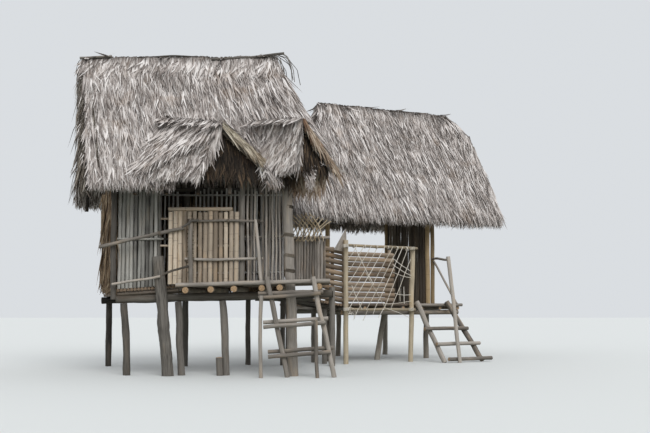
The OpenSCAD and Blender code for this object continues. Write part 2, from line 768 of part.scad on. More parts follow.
function back_under(v) =
    slope_z(back_plate_z, min(v - plate_v, room_back_v - v), rafter_off, back_pitch)
    - (rafter_r + 6) / cos(back_pitch) - stick_r * tan(back_pitch) - 20;
module end_wall() {
    inset = room_post_d / 2 + stick_r + 14;
    near = plate_v + inset;
    far = room_back_v - inset;
    n = floor((far - near) / (stick_d * 1.4));
    below_ridge = slope_z(back_plate_z, room_d / 2, 0, back_pitch) - plate_r - 10;
    off = stick_r * 1.12 + batten_r + gap;
    color("#5f564c")
        place_back() {
            for (i = [0 : n]) {
                v = near + (far - near) * i / n;
                top = abs(v - back_ridge_v) < plate_r + stick_r + 8 ? below_ridge : back_under(v);
                d = stick_d * (1 + 0.12 * sin(i * 59));
                u = room_end + stick_r * 1.12 - d / 2;
                pole([u, v, back_floor_h + gap], [u, v, top], d);
            }
            for (z = [back_floor_h + 400, back_floor_h + 1300, back_plate_z - 60])
                pole([room_end + off, near - 30, z], [room_end + off, far + 30, z], batten_d);
        }
}

bearer_v = [-porch_out + 80, mid_bearer_v, room_back_v - 220];
deck_end = room_end + 110;
module back_stilts() {
    color("#7d766d")
        place_back()
            for (v = [bearer_v[1], bearer_v[2]])
                for (u = stilt_u) {
                    lean = u == stilt_u[1] && v == bearer_v[1] ? 200 : 20;
                    post([u, v, 0], [u + lean, v, back_under_bearer], stilt_d, stilt_d * 0.92);
                }
}

joist_n = 7;
function back_joist_u(i) = porch_at + 20 + i * (deck_end - 60 - porch_at - 20) / (joist_n - 1);
module back_floor_frame() {
    edge_pole_d = 70;
    color("#7c746a")
        place_back() {
            for (v = bearer_v)
                pole([porch_at - 30, v, back_bearer_z], [deck_end - 20, v, back_bearer_z], back_bearer_d);
            for (i = [0 : joist_n - 1])
                pole([back_joist_u(i), -porch_out, back_joist_z],
                     [back_joist_u(i), room_back_v + 90, back_joist_z], back_joist_d);
            pole([porch_right + 110, edge_pole_v, edge_pole_z],
                 [deck_end + 30, edge_pole_v, edge_pole_z], edge_pole_d);
        }
}
edge_pole_v = -porch_out - 35 - gap;
edge_pole_z = back_floor_z;

back_rows = floor((room_back_v + 100 + porch_out) / (floor_d * 1.12));
module back_floor() {
    left = porch_at - 50;
    post_u = porch_at + 200;
    hole = room_post_d / 2 + 12;
    color("#958a7b")
        place_back()
            for (i = [0 : back_rows]) {
                v = -porch_out + floor_r + i * floor_d * 1.12;
                if (min(abs(v - plate_v), abs(v - room_back_v)) > hole + floor_r) {
                    pole([left, v, back_floor_z], [deck_end, v, back_floor_z], floor_d);
                } else {
                    pole([left, v, back_floor_z], [post_u - hole, v, back_floor_z], floor_d);
                    pole([post_u + hole, v, back_floor_z], [deck_end, v, back_floor_z], floor_d);
                }
            }
}

back_hip_rise = (back_ridge_v - back_eave_v) * tan(back_pitch);
back_hip_pitch = atan2(back_hip_rise, back_hip_run);
back_ridge_in_z = slope_z(back_plate_z, room_d / 2, thatch_off, back_pitch);
back_hip_plate_z = back_plate_z + plate_d + gap;
back_hip_fall = back_ridge_in_z - back_hip_plate_z - thatch_off / cos(back_hip_pitch);
back_hip_plate_u = back_hip_run - back_hip_fall / tan(back_hip_pitch);
module back_roof_poles() {
    ridge_z = slope_z(back_plate_z, room_d / 2, 0, back_pitch);
    out = hip_plate_out(back_pitch);
    color("#6b635a")
        place_back() {
            for (v = [plate_v, room_back_v])
                pole([back_hip_plate_u - plate_d, v, back_plate_z], [back_l - 160, v, back_plate_z], plate_d);
            pole([back_hip_plate_u, plate_v - out, back_hip_plate_z],
                 [back_hip_plate_u, room_back_v + out, back_hip_plate_z],
                 plate_d);
            pole([back_hip_run + 90, back_ridge_v, ridge_z],
                 [back_ridge_l - 60, back_ridge_v, ridge_z], plate_d);
        }
}

module back_rafters() {
    low_v = back_eave_v + 100;
    low_z = slope_z(back_plate_z, low_v - plate_v, rafter_off, back_pitch);
    top_z = slope_z(back_plate_z, room_d / 2, rafter_off, back_pitch);
    color("#6b5f52")
        place_back()
            for (i = [0 : rafter_n - 1]) {
                u = back_hip_run + 140 + i * (back_ridge_l - back_hip_run - 380) / (rafter_n - 1);
                pole([u, low_v, low_z], [u, back_ridge_v, top_z], rafter_d);
                pole([u + rafter_d + 2, room_back_v + plate_v - low_v, low_z],
                     [u + rafter_d + 2, back_ridge_v, top_z], rafter_d);
            }
}

back_drop = thatch_t / cos(back_pitch);
back_eave_z = slope_z(back_plate_z, -back_eave_out, thatch_off, back_pitch) + back_drop;
back_ridge_top = back_ridge_in_z + back_drop;
back_front_left = [0, back_eave_v, back_eave_z];
back_front_right = [back_l, back_eave_v, back_eave_z];
back_rear_left = [0, back_rear_v, back_eave_z];
back_rear_right = [back_l, back_rear_v, back_eave_z];
back_ridge_left = [back_hip_run, back_ridge_v, back_ridge_top];
back_ridge_right = [back_ridge_l, back_ridge_v, back_ridge_top];

module back_front_thatch() {
    color("#a79f97")
        place_back()
            thatch([back_front_left, back_front_right, back_ridge_right, back_ridge_left], back_drop);
}

module back_rear_thatch() {
    color("#9d958c")
        place_back()
            thatch([back_ridge_left, back_ridge_right, back_rear_right, back_rear_left], back_drop);
}

module back_hip_thatch() {
    color("#a2998f")
        place_back()
            thatch([back_front_left, back_ridge_left, back_rear_left], back_drop);
}

stringer_r = stringer_d / 2;
side_foot_v = -porch_out - 720;
edge_reach = edge_pole_v - side_foot_v;
side_angle = atan2(edge_pole_z, edge_reach) + asin((stringer_r + 35 + gap) / norm([edge_reach, edge_pole_z]));
side_top_z = edge_pole_z + (stringer_r + 35 + gap) * cos(side_angle) + 8;
side_left = 3200;
side_tread_n = 3;
side_tread_start = 36;
side_tread_rise = 332;
module side_ladder() {
    top_v = side_foot_v + side_top_z / tan(side_angle);
    right = side_left + side_ladder_w;
    color("#979086")
        place_back() {
            leaning_pole([side_left, side_foot_v, 0], [side_left - 310, top_v, side_top_z], stringer_d);
            leaning_pole([right + 150, side_foot_v, 0], [right - 380, top_v, side_top_z], stringer_d);
        }
}

side_tread_d = 84;
tread_off = stringer_r + side_tread_d / 2 + gap;
function side_tread_v(i) =
    side_foot_v + side_tread_s(i) / tan(side_angle) - tread_off * sin(side_angle);
function side_tread_s(i) = side_tread_start + side_tread_rise * i;
module side_ladder_treads() {
    color("#9b948a")
        place_back()
            for (i = [0 : side_tread_n - 1]) {
                z = side_tread_s(i) + tread_off * cos(side_angle);
                left = side_left + 60 - 215 * i;
                pole([left, side_tread_v(i), z],
                     [left + side_ladder_w + 290, side_tread_v(i), z], side_tread_d);
            }
}

handrail_r = 44;
// The tall post stands before the lowest tread, its rail runs back to the hut's right front post, and a
// brace rises from the floor to the same post
module handrail() {
    lean = [-90, 280, back_floor_h + 1050];
    first_z = side_tread_start + tread_off * cos(side_angle);
    foot_v = side_tread_v(0) - (side_tread_d / 2 + handrail_r + gap) * 1.01 - lean.y * first_z / lean.z;
    foot = [side_left + 290, foot_v, 0];
    head = foot + lean;
    last_r = room_post_d * 0.45;
    room_post = [room_end + 135, plate_v, back_floor_h + 1080];
    along = unit([room_post.x - head.x, room_post.y - head.y, 0]);
    brace_foot = [deck_end - 60, 60 - porch_out, back_floor_h + 20];
    brace_run = [room_post.x + 10, plate_v - last_r - 20, back_floor_h + 1000] - brace_foot;
    brace_tip = 26 * sqrt(1 - pow(brace_run.y / norm(brace_run), 2));
    color("#979086")
        place_back() {
            leaning_pole(foot, head, handrail_r * 2);
            pole([head.x, head.y - 7, head.z - 60] + along * (handrail_r + 12),
                 room_post - along * (last_r + 1), 56);
            pole(brace_foot, [room_post.x + 10, plate_v - last_r - brace_tip - gap, back_floor_h + 1000], 52);
        }
}

corner_post();
bark_post();
beam_posts();
back_posts();
main_beams();
deck_joists();
deck_edge_pole();
deck_floor();
side_floor();
pole_wall();
left_end_wall();
back_wall();
cane_screen();
stick_screen();
wall_posts();
deck_railing();
roof_poles();
rafters();
front_thatch();
rear_thatch();
hip_thatch();
door_canopy();
corner_canopy();
canopy_poles();
ladder_frame();
ladder_treads();
walkway_floor();
walkway_bearers();
palisade();
porch_frame();
porch_net();
cane_rails();
hut_posts();
end_wall();
back_stilts();
back_floor_frame();
back_floor();
back_roof_poles();
back_rafters();
back_front_thatch();
back_rear_thatch();
back_hip_thatch();
side_ladder();
side_ladder_treads();
handrail();
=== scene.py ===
import math
import random

import bmesh
import bpy
import numpy as np
from mathutils import Matrix, Vector


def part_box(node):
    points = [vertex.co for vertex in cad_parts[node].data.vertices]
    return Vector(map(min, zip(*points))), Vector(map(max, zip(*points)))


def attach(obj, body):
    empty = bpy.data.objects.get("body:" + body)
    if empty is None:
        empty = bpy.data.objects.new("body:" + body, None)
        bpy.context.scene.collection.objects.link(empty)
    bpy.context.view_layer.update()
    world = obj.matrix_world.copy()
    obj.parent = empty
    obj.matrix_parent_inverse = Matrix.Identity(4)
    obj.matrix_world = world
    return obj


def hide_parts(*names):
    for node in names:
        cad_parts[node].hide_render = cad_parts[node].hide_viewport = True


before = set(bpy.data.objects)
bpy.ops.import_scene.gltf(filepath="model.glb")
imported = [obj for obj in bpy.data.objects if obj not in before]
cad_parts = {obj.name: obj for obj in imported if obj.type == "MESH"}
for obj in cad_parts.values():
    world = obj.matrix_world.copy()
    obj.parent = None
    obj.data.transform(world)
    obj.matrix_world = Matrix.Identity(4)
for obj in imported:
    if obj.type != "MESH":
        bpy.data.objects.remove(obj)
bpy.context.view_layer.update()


# Links or sets the inputs of a node, by name or number
def feed(node, wires):
    for key, value in wires.items():
        if isinstance(value, Wire):
            node.id_data.links.new(value.socket, node.inputs[key])
        else:
            node.inputs[key].default_value = value
    return node


def put(tree, kind, wires=None, **settings):
    node = tree.nodes.new(kind)
    for key, value in settings.items():
        setattr(node, key, value)
    return feed(node, wires or {})


def make(tree, kind, wires=None, output=0, **settings):
    return Wire(put(tree, kind, wires, **settings).outputs[output])


# One result of a node. It takes sums and products with numbers and with other wires, as numbers or as vectors
class Wire:
    def __init__(self, socket):
        self.socket = socket
        self.tree = socket.id_data

    def maths(self, operation, other=0.0, clamp=False):
        if self.socket.type not in ("VECTOR", "RGBA"):
            return make(self.tree, "ShaderNodeMath", {0: self, 1: other}, operation=operation, use_clamp=clamp)
        if operation == "MULTIPLY" and not isinstance(other, tuple):
            return make(self.tree, "ShaderNodeVectorMath", {0: self, "Scale": other}, operation="SCALE")
        return make(self.tree, "ShaderNodeVectorMath", {0: self, 1: other}, operation=operation)

    def __add__(self, other):
        return self.maths("ADD", other)

    def __sub__(self, other):
        return self.maths("SUBTRACT", other)

    def __rsub__(self, number):
        return make(self.tree, "ShaderNodeMath", {0: number, 1: self}, operation="SUBTRACT")

    def __mul__(self, other):
        return self.maths("MULTIPLY", other)

    def __truediv__(self, other):
        return self.maths("DIVIDE", other)

    def __pow__(self, power):
        return self.maths("POWER", power)

    def __abs__(self):
        return self.maths("ABSOLUTE")

    def part(self, index):
        return make(self.tree, "ShaderNodeSeparateXYZ", {0: self}, index)

    def noise(self, scale, detail, roughness=0.5, output="Fac"):
        wires = {"Vector": self, "Scale": scale, "Detail": detail, "Roughness": roughness}
        return make(self.tree, "ShaderNodeTexNoise", wires, output)

    # This number brought from low and high to toLow and toHigh, and held between them
    def remap(self, low, high, toLow=0.0, toHigh=1.0, **settings):
        wires = {"Value": self, "From Min": low, "From Max": high, "To Min": toLow, "To Max": toHigh}
        return make(self.tree, "ShaderNodeMapRange", wires, **settings)

    # The colour low where this number is 0 and high where it is 1
    def mix(self, low, high):
        return make(self.tree, "ShaderNodeMix", {0: self, 6: low, 7: high}, 2, data_type="RGBA")

    def store(self, name, value, kind="FLOAT", domain="POINT"):
        wires = {"Geometry": self, "Name": name, "Value": value}
        return make(self.tree, "GeometryNodeStoreNamedAttribute", wires, data_type=kind, domain=domain)

    def coat(self, material):
        return make(self.tree, "GeometryNodeSetMaterial", {"Geometry": self, "Material": material})


def combine(tree, *parts):
    return make(tree, "ShaderNodeCombineXYZ", dict(enumerate(parts)))


def named(tree, name, kind="FLOAT"):
    return make(tree, "GeometryNodeInputNamedAttribute", {"Name": name}, "Attribute", data_type=kind)


def attribute(tree, name, output="Fac"):
    return make(tree, "ShaderNodeAttribute", None, output, attribute_name=name, attribute_type="GEOMETRY")


def colour(code):
    parts = [int(code[i:i + 2], 16) / 255 for i in (1, 3, 5)]
    return tuple(c / 12.92 if c <= 0.04045 else ((c + 0.055) / 1.055) ** 2.4 for c in parts) + (1.0,)


def ramp(factor, stops):
    node = put(factor.tree, "ShaderNodeValToRGB", {"Fac": factor})
    band = node.color_ramp
    while len(band.elements) < len(stops):
        band.elements.new(0.5)
    for element, (place, code) in zip(band.elements, stops):
        element.position = place
        element.color = colour(code)
    return Wire(node.outputs["Color"])


# The same values under the titles of inputs: sweepLeft becomes Sweep Left
def titled(values):
    return {"".join(" " + c if c.isupper() else c for c in name).title(): value for name, value in values.items()}


# A new tree, its inputs as wires and the node that takes its results. An input is its first value or its kind
def startTree(name, family, outputs, **inputs):
    tree = bpy.data.node_groups.new(name, family)
    for title, value in titled(inputs).items():
        known = isinstance(value, str)
        kind = value if known else {int: "Int", float: "Float", tuple: "Vector"}[type(value)]
        socket = tree.interface.new_socket(title, in_out="INPUT", socket_type="NodeSocket" + kind)
        if not known:
            socket.default_value = value
    for title, kind in outputs.items():
        tree.interface.new_socket(title, in_out="OUTPUT", socket_type="NodeSocket" + kind)
    given = {key: Wire(socket) for key, socket in zip(inputs, put(tree, "NodeGroupInput").outputs)}
    return tree, given, put(tree, "NodeGroupOutput")


# Puts the tree on a mesh, sets its inputs and turns the result into a plain mesh
def runTree(mesh, tree, values):
    piece, titles = newPiece("holder", mesh), titled(values)
    modifier = piece.modifiers.new(tree.name, "NODES")
    modifier.node_group = tree
    for item in tree.interface.items_tree:
        if item.in_out == "INPUT" and item.name in titles:
            modifier[item.identifier] = titles[item.name]
    seen = bpy.context.evaluated_depsgraph_get()
    made = bpy.data.meshes.new_from_object(piece.evaluated_get(seen), preserve_all_data_layers=True, depsgraph=seen)
    bpy.data.objects.remove(piece)
    return made


def newPiece(name, mesh):
    mesh.name = name
    piece = bpy.data.objects.new(name, mesh)
    bpy.context.scene.collection.objects.link(piece)
    return piece


# Gives a finished piece its body and hides the CAD nodes it stands for
def settle(piece, nodes):
    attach(piece, "root")
    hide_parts(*nodes)
    print(piece.name, "done:", sum(len(p.vertices) - 2 for p in piece.data.polygons), "triangles")
    return piece


def newMaterial(name):
    material = bpy.data.materials.new(name)
    material.use_nodes = True
    return material, material.node_tree, material.node_tree.nodes["Principled BSDF"]


# How many streaks, cracks and patches of the wood there are in a metre: along the grain, then across it
grainSteps = dict(streak=(3.0, 95.0, 95.0), crack=(1.3, 60.0, 60.0), patch=(2.2, 9.0, 9.0))


# Grey weathered wood along the grain attribute: streaks, long cracks, patches and knots
def makeGrainGroup():
    tree, given, result = startTree(
        "weatheredGrain", "ShaderNodeTree", {"Color": "Color", "Roughness": "Float", "Height": "Float"},
        grain="Vector", tone=0.5, light="Color", dark="Color", warm="Color", streaks=1.0, ringStep=0.0, rings=0.0)
    grain, lineWidth = given["grain"], 0.035
    streak = (grain * grainSteps["streak"]).noise(1.0, 5.0, 0.62)
    crack = abs((grain * grainSteps["crack"]).noise(1.0, 2.0) - 0.5).remap(0.0, lineWidth, 1.0, 0.0)
    patch = (grain * grainSteps["patch"]).noise(1.0, 3.0)
    shade = (streak - 0.5) * given["streaks"] + given["tone"] + (patch - 0.5) * 0.9
    base = shade.maths("ADD", 0.0, clamp=True).mix(given["dark"], given["light"])
    base = (patch.remap(0.52, 0.72) * 0.55).mix(base, given["warm"])
    # Nodes of a cane, or knots on a pole, come once in every ring step along the grain
    turn = ((grain.part(0) + given["tone"] * 3.0) / given["ringStep"].maths("MAXIMUM", 0.01)).maths("FRACT")
    ring = abs(turn - 0.5).remap(0.0, lineWidth, 1.0, 0.0) * given["rings"]
    base = (crack * 0.5).mix(base, given["dark"])
    base = (ring * 0.65).mix(base, given["dark"])
    feed(result, {"Color": base, "Roughness": streak * 0.25 + 0.68,
                  "Height": streak * 0.5 - crack * 0.6 + ring * 0.8})
    return tree


grainGroup = makeGrainGroup()


def poleFinish(name, look):
    material, tree, shader = newMaterial(name)
    grain = attribute(tree, "grain", "Vector")
    light, dark, warm, cutLight, cutDark = look["colours"].split()
    group = put(tree, "ShaderNodeGroup", titled(dict(
        grain=grain, tone=attribute(tree, "tone"), light=colour(light), dark=colour(dark), warm=colour(warm),
        streaks=look["streaks"], ringStep=look["ringStep"], rings=look["rings"])), node_tree=grainGroup).outputs
    ends = ramp((grain * (0.0, 1.0, 1.0) * 60.0).noise(1.0, 3.0), [(0.3, cutDark), (0.65, cutLight)])
    bump = make(tree, "ShaderNodeBump", {"Strength": look["bump"], "Distance": look["bumpDepth"],
                                         "Height": Wire(group["Height"])}, "Normal")
    feed(shader, {"Base Color": attribute(tree, "cut").mix(Wire(group["Color"]), ends),
                  "Roughness": Wire(group["Roughness"]), "Specular IOR Level": 0.25, "Normal": bump})
    return material


# A kind of pole: its slot, its wood where it is light, dark and warm, its cut ends where they are light and dark,
# and what else sets it apart
def poleLook(slot, colours, **change):
    return dict(dict(slot=slot, colours=colours, streaks=1.0, rings=0.0, ringStep=0.3, bump=0.6, bumpDepth=0.004),
                **change)


poleLooks = {
    "palePole": poleLook("pale_pole", "#c2bab0 #6b655e #a8937a #c4aa8c #8a725a"),
    "deckPole": poleLook("pale_pole", "#b3a999 #675d51 #a58b6d #bfa381 #7d6247"),
    "greyPole": poleLook("grey_pole", "#858079 #3f3b36 #6a5f53 #b39a80 #7d6650"),
    "darkStick": poleLook("dark_stick", "#7d7468 #3d362f #6d5a45 #9a8469 #5d4b39"),
    "backStick": poleLook("dark_stick", "#f0eeea #8f8c88 #c4bcb0 #d8cdbc #8a7a66"),
    "wallPole": poleLook("grey_pole", "#bdbbb4 #5b5955 #938876 #b7a385 #7b6a52"),
    "dryCane": poleLook("cane", "#dccdb8 #877a6b #b0926f #dcc6a0 #8f7448",
                        rings=1.0, ringStep=0.32, streaks=0.7, bump=0.45),
    "floorStick": poleLook("pale_pole", "#a2968a #5b5147 #8b7560 #a08b76 #5f4f40"),
    # Painted shade: the rafters are coloured darker for the shade under the roof
    "shadedRafterPole": poleLook("grey_pole", "#5d564c #25211c #4a3d30 #6f5e4b #3a2f25"),
    # Painted light: the stilts under the back hut are coloured lighter than the shade under its floor leaves them
    "litStiltPole": poleLook("grey_pole", "#aea79c #625c54 #86786a #a8977f #6a5a48"),
    "railCane": poleLook("cane", "#b9a691 #6a5d50 #a3825f #cbb391 #85694d"),
    # Painted light: the lattice canes under the back roof's eave are coloured lighter than their shade leaves them
    "litCrossCane": poleLook("cane", "#ecdcbf #a8957a #c9a87c #d8c4a2 #957c5c"),
    # Painted shade: the main beams, set back under the joists, are coloured darker for the shade there
    "shadedBeamPole": poleLook("grey_pole", "#6f6a62 #2d2a26 #57493b #8a745d #4f4032"),
    "barkPost": poleLook("bark", "#98938b #3c3833 #6b5f50 #b39a80 #7d6650",
                         streaks=1.5, bump=1.0, bumpDepth=0.012),
    "postBamboo": poleLook("cane", "#c4ab84 #7f6e54 #8f8468 #dcc6a0 #8f7448",
                           rings=0.7, ringStep=0.36, streaks=0.8),
    "porchPole": poleLook("pale_pole", "#cdbfa6 #7d7260 #b79b72 #d8c4a2 #957c5c"),
    "netTwine": poleLook("twine", "#f4efe6 #bdb4a4 #cbbf9f #e6e0d2 #9d9484", ringStep=0.02, rings=0.4),
}
poleMaterials = {name: poleFinish(name, look) for name, look in poleLooks.items()}


poleShape = dict(step=0.13, bend=0.010, bendLength=0.9, knots=0.14, lumps=0.003, sides=12)


# Edges with a radius each become crooked round poles with knots, cut ends and a grain attribute
def makePoleTree():
    tree, given, result = startTree("crookedPoles", "GeometryNodeTree", {"Poles": "Geometry"}, edges="Geometry",
                                    seed=1.0, material="Material", **poleShape)
    tree.is_modifier = True
    thick, pick = named(tree, "thick"), named(tree, "pick")
    place = make(tree, "GeometryNodeInputPosition")
    spline = put(tree, "GeometryNodeSplineParameter").outputs
    factor = Wire(spline["Factor"])
    curve = make(tree, "GeometryNodeMeshToCurve", {"Mesh": given["edges"]}, "Curve")
    curve = make(tree, "GeometryNodeResampleCurve", {"Curve": curve, "Length": given["step"]}, "Curve", mode="LENGTH")
    # Both ends of a pole stay where they are, and it sways between them
    hold = (factor * (1.0 - factor) * 4.0) ** 0.7
    own = combine(tree, pick * 37.7, given["seed"], pick * 11.3)
    bendLength = combine(tree, *[given["bendLength"]] * 3)
    sway = (place / bendLength + own).noise(1.0, 1.0, output="Color") - (0.5, 0.5, 0.5)
    curve = make(tree, "GeometryNodeSetPosition", {"Geometry": curve, "Offset": sway * (hold * (given["bend"] * 4.0))})
    swell = ((place * 3.4 + own).noise(1.0, 2.0) - 0.5) * (given["knots"] * 2.0) + 1.0
    circle = make(tree, "GeometryNodeCurvePrimitiveCircle", {"Resolution": given["sides"], "Radius": 1.0}, "Curve")
    tube = make(tree, "GeometryNodeCurveToMesh", {
        "Curve": curve.store("along", Wire(spline["Length"])), "Scale": thick * swell, "Fill Caps": True,
        "Profile Curve": circle.store("around", place, "FLOAT_VECTOR")}, "Mesh")
    side = named(tree, "around", "FLOAT_VECTOR") * thick
    grain = combine(tree, named(tree, "along") + pick * 53.0, side.part(0), side.part(1))
    corners = make(tree, "GeometryNodeInputMeshFaceNeighbors", None, "Vertex Count")
    cap = make(tree, "FunctionNodeCompare", {2: corners, 3: 4}, data_type="INT", operation="GREATER_THAN")
    tube = tube.store("grain", grain, "FLOAT_VECTOR").store("tone", pick).store("cut", cap, domain="FACE")
    rough = (place * 11.0 + own).noise(1.0, 3.0)
    dent = make(tree, "GeometryNodeInputNormal") * ((rough - 0.5) * (given["lumps"] * 2.0))
    tube = make(tree, "GeometryNodeSetPosition", {"Geometry": tube, "Offset": dent})
    long = make(tree, "FunctionNodeBooleanMath", {0: cap}, operation="NOT")
    tube = make(tree, "GeometryNodeSetShadeSmooth", {"Geometry": tube, "Selection": long}, domain="FACE")
    feed(result, {"Poles": make(tree, "GeometryNodeRealizeInstances", {0: tube}).coat(given["material"])})
    return tree


poleTree = makePoleTree()


# The outlines in which a solid meets a plane, where level is each corner's height over that plane
def loopsAt(points, faces, level):
    joined = {}
    for face in faces:
        pairs = zip(face, face[1:] + face[:1])
        hits = [tuple(sorted(pair)) for pair in pairs if (level[pair[0]] < 0) != (level[pair[1]] < 0)]
        for first, second in zip(hits[::2], hits[1::2]):
            joined.setdefault(first, []).append(second)
            joined.setdefault(second, []).append(first)
    loops = []
    while joined:
        stack, loop = [next(iter(joined))], []
        while stack:
            edge = stack.pop()
            if edge in joined:
                stack += joined.pop(edge)
                low, high = edge
                share = level[low] / (level[low] - level[high])
                loop.append(points[low] + share * (points[high] - points[low]))
        if len(loop) > 4:
            loops.append(np.array(loop))
    return loops


# A mesh opened for editing, with corners that lie closer than merge made one
def openShape(mesh, merge=0.0):
    shape = bmesh.new()
    shape.from_mesh(mesh)
    if merge:
        bmesh.ops.remove_doubles(shape, verts=shape.verts, dist=merge)
    return shape


def closeShape(shape, mesh):
    shape.to_mesh(mesh)
    shape.free()
    return mesh


# Corners and faces of every separate solid in a CAD node
def readIslands(nodeName):
    shape = openShape(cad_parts[nodeName].data, 1e-5)
    seen, islands = set(), []
    for start in shape.verts:
        if start.index in seen:
            continue
        stack, corners = [start], {start.index: 0}
        seen.add(start.index)
        while stack:
            for edge in stack.pop().link_edges:
                for other in edge.verts:
                    if other.index not in seen:
                        seen.add(other.index)
                        corners[other.index] = len(corners)
                        stack.append(other)
        shape.verts.ensure_lookup_table()
        points = np.array([shape.verts[index].co[:] for index in corners])
        faces = [[corners[v.index] for v in face.verts] for face in shape.faces if face.verts[0].index in corners]
        islands.append((points, faces))
    shape.free()
    return sorted(islands, key=lambda island: tuple(np.round(island[0].mean(0), 3)))


# How far along a pole it is cut, as shares of its length
cutPlaces = (0.04, 0.3, 0.6, 0.8, 0.96)


# The centre line and radii of every round pole in a CAD node, from cuts through its mesh
def readPoles(nodeName):
    poles = []
    for points, faces in readIslands(nodeName):
        sizes, ways = np.linalg.svd(points - points.mean(0), full_matrices=False)[1:]
        if sizes[1] > 3 * sizes[2]:
            continue
        normal = np.array([0.0, 0.0, 1.0]) if abs(ways[0][2]) > 0.5 else ways[0]
        reach = points @ normal
        low, high = reach.min(), reach.max()
        paths = []
        for place in cutPlaces:
            loops = loopsAt(points, faces, reach - (low + place * (high - low)))
            middles = [(loop.min(0) + loop.max(0)) / 2 for loop in loops]
            if not paths:
                paths = [[(place, middle, loop)] for middle, loop in zip(middles, loops)]
                continue
            for path in paths:
                far = [np.linalg.norm(middle - path[-1][1]) for middle in middles]
                if len(middles) >= len(paths):
                    nearest = int(np.argmin(far))
                    path.append((place, middles[nearest], loops[nearest]))
        for path in paths:
            places, centres = [p[0] for p in path], [p[1] for p in path]
            radii = []
            for index, (place, centre, loop) in enumerate(path):
                run = centres[min(index + 1, len(centres) - 1)] - centres[max(index - 1, 0)]
                run = run / np.linalg.norm(run)
                radii.append(float(np.median(np.linalg.norm(np.cross(loop - centre, run), axis=1))))
            start = centres[0] - (centres[1] - centres[0]) * places[0] / (places[1] - places[0])
            end = centres[-1] + (centres[-1] - centres[-2]) * (1 - places[-1]) / (places[-1] - places[-2])
            poles.append(([start] + centres[1:-1] + [end], radii))
    return poles


# A chain of edges for each pole, with its radius at every corner and a number from 0 to 1 of its own
def edgesOf(poles, seed):
    pickFrom = random.Random(seed)
    mesh = bpy.data.meshes.new("edges")
    corners, edges, thick, picks = [], [], [], []
    for points, radii in poles:
        edges += [(len(corners) + i, len(corners) + i + 1) for i in range(len(points) - 1)]
        corners += [tuple(float(c) for c in corner) for corner in points]
        thick += radii
        picks += [pickFrom.random()] * len(points)
    mesh.from_pydata(corners, edges, [])
    for name, values in (("thick", thick), ("pick", picks)):
        mesh.attributes.new(name, "FLOAT", "POINT").data.foreach_set("value", values)
    return mesh


def polePiece(name, poles, node, look, seed, lowest=0.0, thicker=1.0, **change):
    poles = [(points, [radius * thicker for radius in radii]) for points, radii in poles]
    values = dict(poleShape, **change)
    mesh = runTree(edgesOf(poles, seed), poleTree, dict(values, seed=float(seed), material=poleMaterials[look]))
    # Feet stay level with the ground
    for vertex in mesh.vertices:
        vertex.co.z = max(vertex.co.z, lowest)
    return settle(newPiece(name, mesh), [node])


# Two poles that touch are read as one thick one, so it is laid again as a pair side by side
def splitPairs(poles):
    usual = float(np.median([np.mean(radii) for points, radii in poles]))
    pairs = []
    for points, radii in poles:
        if np.mean(radii) < 1.5 * usual:
            pairs.append((points, radii))
            continue
        for side in (-1, 1):
            shift = np.array([side * usual * 1.03, 0, 0])
            pairs.append(([np.array(point) + shift for point in points], [usual] * len(points)))
    return pairs


def roundPoles(nodeName, look, seed, pairs=False, **change):
    poles = readPoles(nodeName)
    if pairs:
        poles = splitPairs(poles)
    return polePiece(nodeName + "Poles", poles, nodeName, look, seed, lowest=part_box(nodeName)[0][2], **change)


# One pole or cord of an even thickness through the given points
def line(radius, *corners):
    return [np.array(corner, float) for corner in corners], [radius] * len(corners)


# A cord wound round the stretch from start to end
def coil(start, end, radius, turns, thick, stepsPerTurn=10):
    start, end = Vector(start), Vector(end)
    axis = (end - start).normalized()
    side = axis.orthogonal().normalized()
    other = axis.cross(side)
    count = int(turns * stepsPerTurn)
    points = []
    for i in range(count + 1):
        angle = math.tau * turns * i / count
        points.append(start.lerp(end, i / count) + (side * math.cos(angle) + other * math.sin(angle)) * radius)
    return line(thick, *points)


